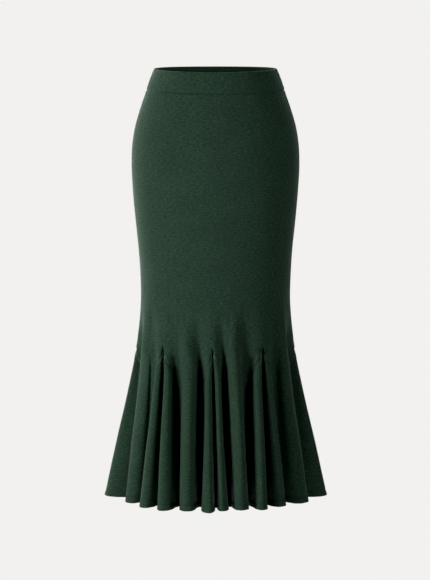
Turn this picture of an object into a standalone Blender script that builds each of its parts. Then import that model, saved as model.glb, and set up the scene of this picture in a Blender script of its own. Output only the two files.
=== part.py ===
"""Mermaid fishtail skirt of heavy double knit, filled out as worn, with nobody in it.

The skirt is a tube: an elastic waistband in two halves, a front and a back panel that are slit from
below the knee to the hem, and eight godets sewn into the slits, two of them in the side seams. Below
the slits the cloth stands in 24 deep folds, two on each godet and one on each tongue between them.

Frame: metres, +Z up, the front faces -Y, the wearer's right side is at -X. The origin is the centre
of the waistband at half its height, where the wearer's waist holds the skirt.

Every level of the tube is one closed curve: an ellipse whose half-width and half-depths come from
SECTIONS, pushed out and in along its normal by the folds of FOLDS. A place on the curve is given by
its station: the folds' ridges and valleys are the whole numbers, numbered round the hem.
"""

import math
from collections import namedtuple

import bmesh
import bpy
import numpy as np

MM = 0.001

# ---- driving sizes -----------------------------------------------------------------------------
GAP = 0.3 * MM  # between two pieces that are sewn together
CLOTH = 1.6 * MM  # heavy double knit
BAND = 3.0 * MM  # waistband: the knit folded over a flat elastic
BAND_TOP = 21 * MM
BAND_SEAM = -21 * MM
WAIST_DIP = 2 * MM  # the upper edge is lower at centre front and back than at the sides
FOLD_START = -440 * MM  # the first soft swell of the folds, round the knee
APEX = -540 * MM  # tops of the godets
HEM = -872.5 * MM

SOFT_RIDGE = 3.0 * MM  # reach of the folds where the godets begin
RIDGE_GROWTH = 1.05  # power by which the ridges reach out from the godets' tops to the hem
SINK_START = -473 * MM  # the valleys begin to sink here
SINK_LENGTH = 103  # millimetres down over which most of them sink to about two thirds of their depth
SPLIT_GROWTH = 0.5  # power by which a godet's middle valley sinks, deep from its top
SPLIT_END = 0.04  # share of a godet's length over which its middle valley opens
PINCH = 0.6  # how much closer the ridges of a front or back godet stand at its top, as a cone
PINCH_END = 0.22  # share of a godet's length over which they spread to their own lines
SEAM_SETTLE = 0.28  # share of a godet's length over which its seams spread into the valleys
SEAM_INSET = 0.12  # stations from a valley's floor to the seam beside it
APEX_HALF = 0.8 * MM  # half-width of a slit's blunt top
SPREAD_ABOVE = 60 * MM  # height over which the columns beside a slit fan out above it
STEEPNESS = 0.85  # 0 gives sine folds; towards 1 the folds' walls stand steeper and their tops rounder

# Half-width and the half-depths before and behind the side seams, millimetres.
Section = namedtuple("Section", "height half_width front back")
SECTIONS = (
    Section(21, 125.0, 88, 94),
    Section(-21, 140.5, 97, 106),
    Section(-53, 151.9, 103, 114),
    Section(-94, 164.0, 108, 121),
    Section(-135, 170.8, 111, 125),
    Section(-177, 172.5, 113, 126),
    Section(-218, 170.7, 114, 124),
    Section(-260, 167.8, 114, 121),
    Section(-302, 163.7, 112, 117),
    Section(-344, 159.3, 110, 113),
    Section(-386, 156.1, 108.5, 110),
    Section(-428, 154.2, 108, 108),
    Section(-470, 154.0, 108, 108),
    Section(-512, 155.8, 109, 109),
    Section(-540, 158.6, 111, 111),
    Section(-590, 161.2, 117.2, 117.2),
    Section(-650, 165.7, 125, 125),
    Section(-760, 175.5, 139, 139),
    Section(-872.5, 184.0, 153, 153),
    Section(-880, 184.6, 154, 154),
)

# One row for each fold, eight times a godet's two ridges and the tongue that follows it. Places are
# degrees round the ellipse from centre front, at the godets' tops and at the hem; reach and depth are
# millimetres out of and into the ellipse at the hem; lift is how far the edge hangs above HEM there.
# A valley beside a tongue may sink over a length of its own.
FOLD_COLUMNS = "ridge top_deg hem_deg reach lift valley_top valley_hem depth valley_lift sink"
Fold = namedtuple("Fold", FOLD_COLUMNS, defaults=(SINK_LENGTH,))
FOLDS = (
    Fold("side_left_back", -94.5, -102.5, 36, 2.5, -90.0, -94.5, 20, 2.0),
    Fold("side_left_front", -86.0, -86.0, 48.5, 3.0, -79.0, -76.5, 22, 0.0),
    Fold("tongue_left_outer", -69.0, -67.5, 17, -1.5, -52.5, -57.5, 22, 0.5, 230),
    Fold("front_left_outer", -46.2, -48.5, 20, -1.5, -42.0, -41.0, 24, 1.0),
    Fold("front_left_inner", -38.6, -33.8, 22, -1.0, -30.5, -25.8, 23, 1.0),
    Fold("tongue_left_inner", -22.2, -17.6, 20, 2.0, -11.7, -11.0, 23, 2.5),
    Fold("front_centre_left", -5.4, -3.6, 25, 1.2, -2.1, 0.6, 21, 2.0),
    Fold("front_centre_right", 1.2, 4.0, 18, 3.5, 4.9, 10.2, 24, 3.0),
    Fold("tongue_right_inner", 13.2, 15.8, 18, 4.0, 22.1, 24.4, 24, 3.0),
    Fold("front_right_inner", 33.6, 28.8, 22, 2.0, 37.1, 36.6, 21, 2.0),
    Fold("front_right_outer", 41.0, 44.2, 17, 2.5, 50.7, 53.0, 23, 1.5),
    Fold("tongue_right_outer", 63.0, 67.0, 24, 0.0, 76.0, 77.0, 22, 0.5),
    Fold("side_right_front", 86.0, 87.0, 49.5, 2.5, 90.0, 94.5, 21, 2.0),
    Fold("side_right_back", 94.5, 102.5, 34, 2.5, 103.0, 111.0, 22, 2.0),
    Fold("tongue_back_right", 115.0, 119.5, 17, 0.5, 125.5, 128.0, 24, 1.5),
    Fold("back_right_outer", 135.5, 135.0, 20, 1.0, 139.5, 142.0, 21, 2.0),
    Fold("back_right_inner", 143.5, 149.0, 16, 2.0, 151.5, 156.5, 23, 1.5),
    Fold("tongue_back_mid_right", 160.0, 163.0, 21, 0.0, 169.0, 170.5, 24, 2.0),
    Fold("back_centre_right", 177.5, 176.0, 19, 1.5, 181.0, 181.5, 20, 2.0),
    Fold("back_centre_left", 184.5, 187.0, 24, 0.5, 192.5, 194.0, 23, 1.0),
    Fold("tongue_back_mid_left", 201.5, 201.0, 17, 1.5, 209.5, 208.0, 24, 2.0),
    Fold("back_left_inner", 217.0, 214.0, 23, 0.0, 221.0, 220.5, 21, 1.5),
    Fold("back_left_outer", 225.0, 227.5, 18, 1.0, 234.0, 235.0, 22, 2.0),
    Fold("tongue_back_left", 245.0, 241.5, 15, 0.5, 256.5, 249.5, 23, 1.0),
)

# A godet's stations, counted from its first ridge; STRIDE stations on comes the next godet.
STRIDE = 6
FIRST_VALLEY, FIRST_RIDGE, MIDDLE, LAST_RIDGE, LAST_VALLEY, TONGUE = -1, 0, 1, 2, 3, 4

# The wall of cloth after each of those stations: the share of a godet's length at which it stands
# fully steep, and how far it stands towards its valley at the godets' tops and at the hem. A wall
# that stands towards its valley makes the ridge wide and the valley narrow.
Wall = namedtuple("Wall", "after steep_by shift_top shift_hem")
WALLS = (
    Wall("first ridge", 0.10, 0.10, 0.16),
    Wall("middle", 0.10, 0.10, 0.16),
    Wall("last ridge", 0.10, -0.24, 0.16),
    Wall("last valley", 0.20, 0.00, 0.16),
    Wall("tongue", 0.16, 0.22, 0.16),
    Wall("first valley", 0.10, -0.28, 0.16),
)
GODETS = (
    "godet_side_left",
    "godet_front_left",
    "godet_front_centre",
    "godet_front_right",
    "godet_side_right",
    "godet_back_right",
    "godet_back_centre",
    "godet_back_left",
)
FRONT_GODETS = range(0, 5)  # from side seam to side seam
BACK_GODETS = range(4, 9)

# Rows of the wall: heights above the godets' tops, then shares of the way from them to the hem.
BODY_HEIGHTS = (-70, -125, -180, -245, -330, -415, -468, -508)
BAND_ROWS = 3
FLARE_SHARES = (0.0, 0.03, 0.065, 0.09, 0.125, 0.19, 0.32, 0.52, 0.76, 1.0)
SEAM_STEPS = (0.0, 0.5, 1.0)  # columns from a seam to the valley beside it
WALL_STEPS = (0.0, 0.15, 0.36, 0.64, 0.85, 1.0)  # columns from a valley to a ridge

# Finish, as linear colours.
DEEP_GREEN = (0.0185, 0.0395, 0.0242, 1.0)
BAND_GREEN = (0.0160, 0.0340, 0.0210, 1.0)
KNIT_ROUGHNESS = 0.92


# ---- the form ----------------------------------------------------------------------------------
def smooth(x):
    """Ease from 0 to 1 with level ends."""
    x = np.clip(x, 0.0, 1.0)
    return x * x * (3.0 - 2.0 * x)


def section_sizes(z):
    """Half-width, front depth and back depth at the heights z, by cubic Hermite spans."""
    table = np.array(SECTIONS[::-1], dtype=float) * MM
    heights = table[:, 0]
    z = np.clip(z, heights[0], heights[-1])
    low = np.clip(np.searchsorted(heights, z, side="right") - 1, 0, len(heights) - 2)
    span = heights[low + 1] - heights[low]
    u = (z - heights[low]) / span
    sizes = []
    for column in (1, 2, 3):
        values = table[:, column]
        slope = np.gradient(values, heights)
        sizes.append(
            (2 * u**3 - 3 * u**2 + 1) * values[low]
            + (u**3 - 2 * u**2 + u) * span * slope[low]
            + (3 * u**2 - 2 * u**3) * values[low + 1]
            + (u**3 - u**2) * span * slope[low + 1]
        )
    return sizes


def fold_keys(z, share):
    """Angle, offset and edge lift of every ridge and valley at one level, by station."""
    swell = smooth((FOLD_START - z) / (FOLD_START - APEX))
    split = float(smooth(share / SPLIT_END))
    pinch = PINCH * (1 - float(smooth(share / PINCH_END)))
    angle, offset, lift = [], [], []
    for index, fold in enumerate(FOLDS):
        ridge = fold.top_deg + (fold.hem_deg - fold.top_deg) * share
        valley = fold.valley_top + (fold.valley_hem - fold.valley_top) * share
        if index % 3 == 0:
            middle = valley
        if index % 3 < 2 and index % 12 > 1:
            ridge += pinch * (middle - ridge)
        angle += [ridge, valley]
        out = SOFT_RIDGE * swell + (fold.reach * MM - SOFT_RIDGE) * share**RIDGE_GROWTH
        offset.append(out)
        lift.append(fold.lift * MM)
        sunk = 1 - math.exp(-((max(0.0, SINK_START - z) / (fold.sink * MM)) ** 2))
        deep = -fold.depth * MM * sunk
        if index % 3 == 0:
            deep = SOFT_RIDGE * swell * (1 - split) - fold.depth * MM * share**SPLIT_GROWTH * split
        offset.append(deep)
        lift.append(fold.valley_lift * MM)
    return np.radians(angle), np.array(offset), np.array(lift)


def middle_surface(station, z_row, share):
    """Points of the cloth's middle at one row; share is 0 above the godets' tops, 1 at the hem."""
    angle, offset, lift = fold_keys(z_row, share)
    count = len(angle)
    floor = np.floor(station).astype(int)
    u = station - floor
    here = floor % count
    after = (floor + 1) % count
    start = angle[here] + 2 * math.pi * (floor // count)
    end = angle[after] + 2 * math.pi * ((floor + 1) // count)
    wall = np.array([row[1:] for row in WALLS])[here % STRIDE]
    firm = smooth(share / wall[:, 0])
    steep = firm * STEEPNESS * np.sin(2 * math.pi * u) / (2 * math.pi)
    shift = firm * (wall[:, 1] + (wall[:, 2] - wall[:, 1]) * share) * np.sin(math.pi * u) ** 2
    shift *= np.where(here % 2 == 0, 1, -1)
    phi = start + (end - start) * (u + steep + shift)
    blend = (1 - np.cos(math.pi * u)) / 2
    push = offset[here] + (offset[after] - offset[here]) * blend
    edge = lift[here] + (lift[after] - lift[here]) * blend
    z = z_row + share * edge
    width, front, back = section_sizes(z)
    depth = np.where(np.cos(phi) > 0, front, back)
    normal = np.stack([depth * np.sin(phi), -width * np.cos(phi)])
    normal /= np.hypot(normal[0], normal[1])
    x = width * np.sin(phi) + push * normal[0]
    y = -depth * np.cos(phi) + push * normal[1]
    return np.stack([x, y, z], axis=-1)


def outward(station, z_row, share):
    """Level unit normals of the cloth, and metres of cloth for each unit of station."""
    step = 0.002
    run = middle_surface(station + step, z_row, share) - middle_surface(station - step, z_row, share)
    length = np.hypot(run[:, 0], run[:, 1])
    normal = np.stack([run[:, 1], -run[:, 0], np.zeros(len(run))], axis=-1) / length[:, None]
    return normal, length / (2 * step)


def along(station, distance, z_row, share):
    """The station that lies a distance along the cloth from another one."""
    _, speed = outward(np.array([station]), z_row, share)
    return station + distance / speed[0]


# ---- rows and columns --------------------------------------------------------------------------
def flare_row(share):
    """Height and share of a row below the godets' tops."""
    return APEX + share * (HEM - APEX), share


def body_rows(top):
    """Rows of a panel from its upper edge to the hem."""
    rows = [(top, 0.0)] + [(height * MM, 0.0) for height in BODY_HEIGHTS]
    return rows + [flare_row(share) for share in FLARE_SHARES]


def seam_station(godet, side, z_row, share, clearance):
    """Where a godet's seam runs: side is -1 or +1; clearance is metres from the seam line outwards."""
    middle = godet * STRIDE + MIDDLE
    valley = godet * STRIDE + (FIRST_VALLEY if side < 0 else LAST_VALLEY)
    line = middle + (valley - side * SEAM_INSET - middle) * float(smooth(share / SEAM_SETTLE)) ** 0.5
    above = float(smooth((z_row - APEX) / SPREAD_ABOVE))
    line += side * 0.8 * above
    return along(line, side * (APEX_HALF * (1 - above) + clearance), z_row, share)


def spaced(first, last, steps, with_last=False):
    """Stations from first to last by shares of the way, without the last unless it is asked for."""
    return [first + (last - first) * step for step in (steps if with_last else steps[:-1])]


def tongue_stations(godet, z_row, share, first=None, last=None):
    """Columns of the cloth between a godet and the next one, or from and to the side seams."""
    start = seam_station(godet, 1, z_row, share, GAP / 2) if first is None else first
    end = seam_station(godet + 1, -1, z_row, share, GAP / 2) if last is None else last
    base = godet * STRIDE
    return (
        spaced(start, base + LAST_VALLEY, SEAM_STEPS)
        + spaced(base + LAST_VALLEY, base + TONGUE, WALL_STEPS)
        + spaced(base + TONGUE, base + STRIDE + FIRST_VALLEY, WALL_STEPS)
        + spaced(base + STRIDE + FIRST_VALLEY, end, SEAM_STEPS, with_last=True)
    )


def side_edge(godet, side, z_row, share):
    """Edge of a panel at a side seam, which is closed above the godet in it."""
    if z_row <= APEX:
        return None
    return along(godet * STRIDE + MIDDLE, side * GAP / 2, z_row, share)


def panel_grid(godets, top):
    """Columns of every row of a panel, and which cells between them are cloth."""
    rows = body_rows(top)
    first, last = godets[0], godets[-1]
    grid = []
    for z_row, share in rows:
        columns = []
        for godet in godets[:-1]:
            start = side_edge(godet, 1, z_row, share) if godet == first else None
            end = side_edge(godet + 1, -1, z_row, share) if godet + 1 == last else None
            columns += tongue_stations(godet, z_row, share, start, end)
        grid.append(np.array(columns))
    columns = 2 * (len(SEAM_STEPS) + len(WALL_STEPS)) - 3
    solid = np.ones((len(rows) - 1, len(grid[0]) - 1), dtype=bool)
    below = len(rows) - len(FLARE_SHARES)
    for slit in range(1, len(godets) - 1):
        solid[below:, slit * columns - 1] = False
    return rows, grid, solid


def godet_grid(godet):
    """Columns of a godet, which starts as a blunt point and widens to its two ridges."""
    ridge_share = (1 - SEAM_INSET) / (2 - SEAM_INSET)
    half = np.array(
        spaced(0.0, ridge_share, WALL_STEPS) + spaced(ridge_share, 1.0, WALL_STEPS, with_last=True)
    )
    rows, grid = [], []
    start = GAP / (APEX - HEM)
    for share in (start, *FLARE_SHARES[1:]):
        z_row, share = flare_row(share)
        middle = godet * STRIDE + MIDDLE
        left = seam_station(godet, -1, z_row, share, -GAP / 2)
        right = seam_station(godet, 1, z_row, share, -GAP / 2)
        columns = np.concatenate(
            [left + (middle - left) * half, (right + (middle - right) * half)[::-1][1:]]
        )
        rows.append((z_row, share))
        grid.append(columns)
    return rows, grid, np.ones((len(rows) - 1, len(grid[0]) - 1), dtype=bool)


# ---- solids ------------------------------------------------------------------------------------
def wall_points(rows, grid, thickness, dip=0.0):
    """Outer and inner points of a wall, row by row; dip lowers the first row at centre front and back."""
    outer, inner = [], []
    for index, ((z_row, share), stations) in enumerate(zip(rows, grid)):
        middle = middle_surface(stations, z_row, share)
        normal, _ = outward(stations, z_row, share)
        if index == 0:
            lean = np.abs(middle[:, 1]) / np.abs(middle[:, 1]).max()
            middle[:, 2] -= dip * lean**2
        outer.append(middle + normal * thickness / 2)
        inner.append(middle - normal * thickness / 2)
    return np.array(outer), np.array(inner)


def boundary_edges(solid):
    """Edges with cloth on one side only, as pairs of (row, column)."""
    sides = {}
    for r, c in zip(*np.nonzero(solid)):
        corners = [(r, c), (r + 1, c), (r + 1, c + 1), (r, c + 1)]
        for a, b in zip(corners, corners[1:] + corners[:1]):
            sides[(a, b)] = sides.get((a, b), 0) + 1
    return [pair for pair in sides if (pair[1], pair[0]) not in sides]


def wall_object(name, rows, grid, solid, thickness, material, dip=0.0):
    """One closed wall: the outer skin, the inner skin and a rim along every edge of the cloth.

    The rim's diagonals all run from the upper outer corner to the lower inner one, so that the two
    rims along a seam stay parallel.
    """
    outer, inner = wall_points(rows, grid, thickness, dip)
    mesh = bmesh.new()
    skins = []
    for points in (outer, inner):
        used = {}
        for r, c in zip(*np.nonzero(solid)):
            for key in ((r, c), (r + 1, c), (r + 1, c + 1), (r, c + 1)):
                if key not in used:
                    used[key] = mesh.verts.new(points[key])
        skins.append(used)
    outside, inside = skins
    for r, c in zip(*np.nonzero(solid)):
        corners = [(r, c), (r + 1, c), (r + 1, c + 1), (r, c + 1)]
        mesh.faces.new([outside[key] for key in corners])
        mesh.faces.new([inside[key] for key in reversed(corners)])
    for a, b in boundary_edges(solid):
        rim = [outside[b], outside[a], inside[a], inside[b]]
        cut = 0 if b < a else 1
        mesh.faces.new([rim[cut], rim[cut + 1], rim[cut + 2]])
        mesh.faces.new([rim[cut], rim[cut + 2], rim[(cut + 3) % 4]])
    data = bpy.data.meshes.new(name)
    mesh.to_mesh(data)
    mesh.free()
    data.shade_smooth()
    data.set_sharp_from_angle(angle=math.radians(50))
    data.materials.append(material)
    piece = bpy.data.objects.new(name, data)
    bpy.context.collection.objects.link(piece)
    return piece


def knit_material(name, colour):
    """Matt knit."""
    material = bpy.data.materials.new(name)
    material.use_nodes = True
    shader = material.node_tree.nodes["Principled BSDF"]
    shader.inputs["Base Color"].default_value = colour
    shader.inputs["Roughness"].default_value = KNIT_ROUGHNESS
    shader.inputs["Metallic"].default_value = 0.0
    return material


def make_panel(name, godets):
    """The front or the back, from the waistband's seam to the hem."""
    rows, grid, solid = panel_grid(godets, BAND_SEAM - GAP / 2)
    return wall_object(name, rows, grid, solid, CLOTH, knit_material(name + "_knit", DEEP_GREEN))


def make_band(name, godets):
    """Half of the waistband, between the side seams."""
    rows = [(z, 0.0) for z in np.linspace(BAND_TOP, BAND_SEAM + GAP / 2, BAND_ROWS + 1)]
    grid = []
    for z_row, share in rows:
        start = side_edge(godets[0], 1, z_row, share)
        end = side_edge(godets[-1], -1, z_row, share)
        columns = []
        for godet in godets[:-1]:
            base = godet * STRIDE
            columns += [base + LAST_RIDGE, base + LAST_VALLEY, base + LAST_VALLEY + 0.5]
            columns += [base + TONGUE, base + TONGUE + 0.5, base + STRIDE + FIRST_VALLEY]
            columns += [base + STRIDE + FIRST_RIDGE]
        grid.append(np.array([start] + columns + [end], dtype=float))
    solid = np.ones((len(rows) - 1, len(grid[0]) - 1), dtype=bool)
    material = knit_material(name + "_knit", BAND_GREEN)
    return wall_object(name, rows, grid, solid, BAND, material, dip=WAIST_DIP)


def make_godet(name, index):
    """One godet, sewn between two tongues."""
    rows, grid, solid = godet_grid(index)
    return wall_object(name, rows, grid, solid, CLOTH, knit_material(name + "_knit", DEEP_GREEN))


def main():
    """Build the twelve pieces of the skirt."""
    for item in list(bpy.data.objects):
        bpy.data.objects.remove(item, do_unlink=True)
    make_band("waistband_front", FRONT_GODETS)
    make_band("waistband_back", BACK_GODETS)
    make_panel("body_front", FRONT_GODETS)
    make_panel("body_back", BACK_GODETS)
    for index, name in enumerate(GODETS):
        make_godet(name, index)


main()
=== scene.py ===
"""Mermaid fishtail skirt of dark green melange double knit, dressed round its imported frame.

The frame gives the cut: an elastic waistband, a front and a back panel, and eight godets. This script
makes the cloth of each as a fine thin shell on the same form, with the creases, puckers, seams and
hem that the solids are too plain for, sews it with stitches, and gives it the knit's finish.

Metres, +Z up; the front faces -Y and the wearer's right side is at -X.
"""

import logging
import math
from dataclasses import dataclass
from enum import Enum
from typing import Optional, Sequence

import bpy
import numpy as np
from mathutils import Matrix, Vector


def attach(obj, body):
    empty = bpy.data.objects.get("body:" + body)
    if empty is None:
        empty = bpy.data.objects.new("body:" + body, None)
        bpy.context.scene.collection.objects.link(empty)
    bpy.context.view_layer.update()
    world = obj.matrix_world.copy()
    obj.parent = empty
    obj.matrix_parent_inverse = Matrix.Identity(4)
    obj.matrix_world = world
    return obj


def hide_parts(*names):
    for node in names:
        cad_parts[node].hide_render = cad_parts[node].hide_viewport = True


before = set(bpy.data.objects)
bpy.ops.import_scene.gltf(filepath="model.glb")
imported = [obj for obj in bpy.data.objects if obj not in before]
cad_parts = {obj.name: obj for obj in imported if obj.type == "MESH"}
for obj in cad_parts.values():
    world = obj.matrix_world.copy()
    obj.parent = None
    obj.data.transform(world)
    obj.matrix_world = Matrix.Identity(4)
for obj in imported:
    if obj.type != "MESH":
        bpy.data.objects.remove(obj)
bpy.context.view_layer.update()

log = logging.getLogger("skirt")

MM = 0.001
CLOTH_THICKNESS = 1.6 * MM
BAND_THICKNESS = 3 * MM  # folded over the elastic
BODY = "root"  # cloth has no joints, so every piece rides on the one body


class Side(Enum):
    """A godet's two seams, as they lie for someone who looks at the outside of the skirt."""

    LEFT = -1
    RIGHT = 1


class Held(Enum):
    """How a piece of cloth is held."""

    HUNG = "hung"
    STRETCHED = "stretched"


class Slot(Enum):
    """Material slots."""

    BODY = "body_knit"
    BAND = "band_knit"
    THREAD = "thread"


# ---- the form: the same driving sizes as the frame's ---------------------------------------------
@dataclass(frozen=True)
class Section:
    """One level of the tube, in mm.

    Args:
        height: Height above the waistband's middle.
        half_width: Half of the width from side to side.
        front: Depth from the side seams to centre front.
        back: Depth from the side seams to centre back.
    """

    height: float
    half_width: float
    front: float
    back: float


@dataclass(frozen=True)
class Fold:
    """One ridge and the valley after it, in mm and in degrees round the tube from centre front.

    Args:
        ridge: Name of the ridge.
        top_deg: Place of the ridge at the godets' tops.
        hem_deg: Place of the ridge at the hem.
        reach: How far the ridge stands out at the hem.
        lift: How far the hem's edge rises at the ridge.
        valley_top: Place of the valley at the godets' tops.
        valley_hem: Place of the valley at the hem.
        depth: How far the valley sinks in.
        valley_lift: How far the hem's edge rises at the valley.
        sink: Length over which the valley sinks to about two thirds of its depth.
    """

    ridge: str
    top_deg: float
    hem_deg: float
    reach: float
    lift: float
    valley_top: float
    valley_hem: float
    depth: float
    valley_lift: float
    sink: float = 103.0


@dataclass(frozen=True)
class Wall:
    """The cloth from one station to the next.

    Args:
        after: The station that it starts from.
        steep_by: Share of the flare by which it stands fully steep.
        shift_top: How far its steep part is moved towards its valley at the godets' tops, as a share.
        shift_hem: The same at the hem.
    """

    after: str
    steep_by: float
    shift_top: float
    shift_hem: float


# height, half_width, front, back
SECTIONS = (
    Section(21, 125.0, 88, 94),
    Section(-21, 140.5, 97, 106),
    Section(-53, 151.9, 103, 114),
    Section(-94, 164.0, 108, 121),
    Section(-135, 170.8, 111, 125),
    Section(-177, 172.5, 113, 126),
    Section(-218, 170.7, 114, 124),
    Section(-260, 167.8, 114, 121),
    Section(-302, 163.7, 112, 117),
    Section(-344, 159.3, 110, 113),
    Section(-386, 156.1, 108.5, 110),
    Section(-428, 154.2, 108, 108),
    Section(-470, 154.0, 108, 108),
    Section(-512, 155.8, 109, 109),
    Section(-540, 158.6, 111, 111),
    Section(-590, 161.2, 117.2, 117.2),
    Section(-650, 165.7, 125, 125),
    Section(-760, 175.5, 139, 139),
    Section(-872.5, 184.0, 153, 153),
    Section(-880, 184.6, 154, 154),
)

# ridge, top_deg, hem_deg, reach, lift, valley_top, valley_hem, depth, valley_lift, sink
FOLDS = (
    Fold("side_left_back", -94.5, -102.5, 36, 2.5, -90.0, -94.5, 20, 2.0),
    Fold("side_left_front", -86.0, -86.0, 48.5, 3.0, -79.0, -76.5, 22, 0.0),
    Fold("tongue_left_outer", -69.0, -67.5, 17, -1.5, -52.5, -57.5, 22, 0.5, 230),
    Fold("front_left_outer", -46.2, -48.5, 20, -1.5, -42.0, -41.0, 24, 1.0),
    Fold("front_left_inner", -38.6, -33.8, 22, -1.0, -30.5, -25.8, 23, 1.0),
    Fold("tongue_left_inner", -22.2, -17.6, 20, 2.0, -11.7, -11.0, 23, 2.5),
    Fold("front_centre_left", -5.4, -3.6, 25, 1.2, -2.1, 0.6, 21, 2.0),
    Fold("front_centre_right", 1.2, 4.0, 18, 3.5, 4.9, 10.2, 24, 3.0),
    Fold("tongue_right_inner", 13.2, 15.8, 18, 4.0, 22.1, 24.4, 24, 3.0),
    Fold("front_right_inner", 33.6, 28.8, 22, 2.0, 37.1, 36.6, 21, 2.0),
    Fold("front_right_outer", 41.0, 44.2, 17, 2.5, 50.7, 53.0, 23, 1.5),
    Fold("tongue_right_outer", 63.0, 67.0, 24, 0.0, 76.0, 77.0, 22, 0.5),
    Fold("side_right_front", 86.0, 87.0, 49.5, 2.5, 90.0, 94.5, 21, 2.0),
    Fold("side_right_back", 94.5, 102.5, 34, 2.5, 103.0, 111.0, 22, 2.0),
    Fold("tongue_back_right", 115.0, 119.5, 17, 0.5, 125.5, 128.0, 24, 1.5),
    Fold("back_right_outer", 135.5, 135.0, 20, 1.0, 139.5, 142.0, 21, 2.0),
    Fold("back_right_inner", 143.5, 149.0, 16, 2.0, 151.5, 156.5, 23, 1.5),
    Fold("tongue_back_mid_right", 160.0, 163.0, 21, 0.0, 169.0, 170.5, 24, 2.0),
    Fold("back_centre_right", 177.5, 176.0, 19, 1.5, 181.0, 181.5, 20, 2.0),
    Fold("back_centre_left", 184.5, 187.0, 24, 0.5, 192.5, 194.0, 23, 1.0),
    Fold("tongue_back_mid_left", 201.5, 201.0, 17, 1.5, 209.5, 208.0, 24, 2.0),
    Fold("back_left_inner", 217.0, 214.0, 23, 0.0, 221.0, 220.5, 21, 1.5),
    Fold("back_left_outer", 225.0, 227.5, 18, 1.0, 234.0, 235.0, 22, 2.0),
    Fold("tongue_back_left", 245.0, 241.5, 15, 0.5, 256.5, 249.5, 23, 1.0),
)

# after, steep_by, shift_top, shift_hem
WALLS = (
    Wall("first ridge", 0.10, 0.10, 0.16),
    Wall("middle", 0.10, 0.10, 0.16),
    Wall("last ridge", 0.10, -0.24, 0.16),
    Wall("last valley", 0.20, 0.00, 0.16),
    Wall("tongue", 0.16, 0.22, 0.16),
    Wall("first valley", 0.10, -0.28, 0.16),
)

# FOLDS has three folds for each godet: its own two ridges, and the one of the tongue after it.
GODET_FOLDS = 3
GODET_RIDGES = 2

# A godet's stations, counted from its first ridge; STRIDE stations on comes the next godet.
STRIDE = 6
FIRST_VALLEY, MIDDLE, LAST_VALLEY, TONGUE = -1, 1, 3, 4
STATION_STEP = 0.002  # stations each way over which the cloth's direction is measured
GODETS = (
    "godet_side_left",
    "godet_front_left",
    "godet_front_centre",
    "godet_front_right",
    "godet_side_right",
    "godet_back_right",
    "godet_back_centre",
    "godet_back_left",
)
SIDE_GODETS = (0, 4)


def smooth(x: np.ndarray | float) -> np.ndarray:
    """Ease from 0 to 1 with level ends."""
    x = np.clip(x, 0.0, 1.0)
    return x * x * (3.0 - 2.0 * x)


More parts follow.
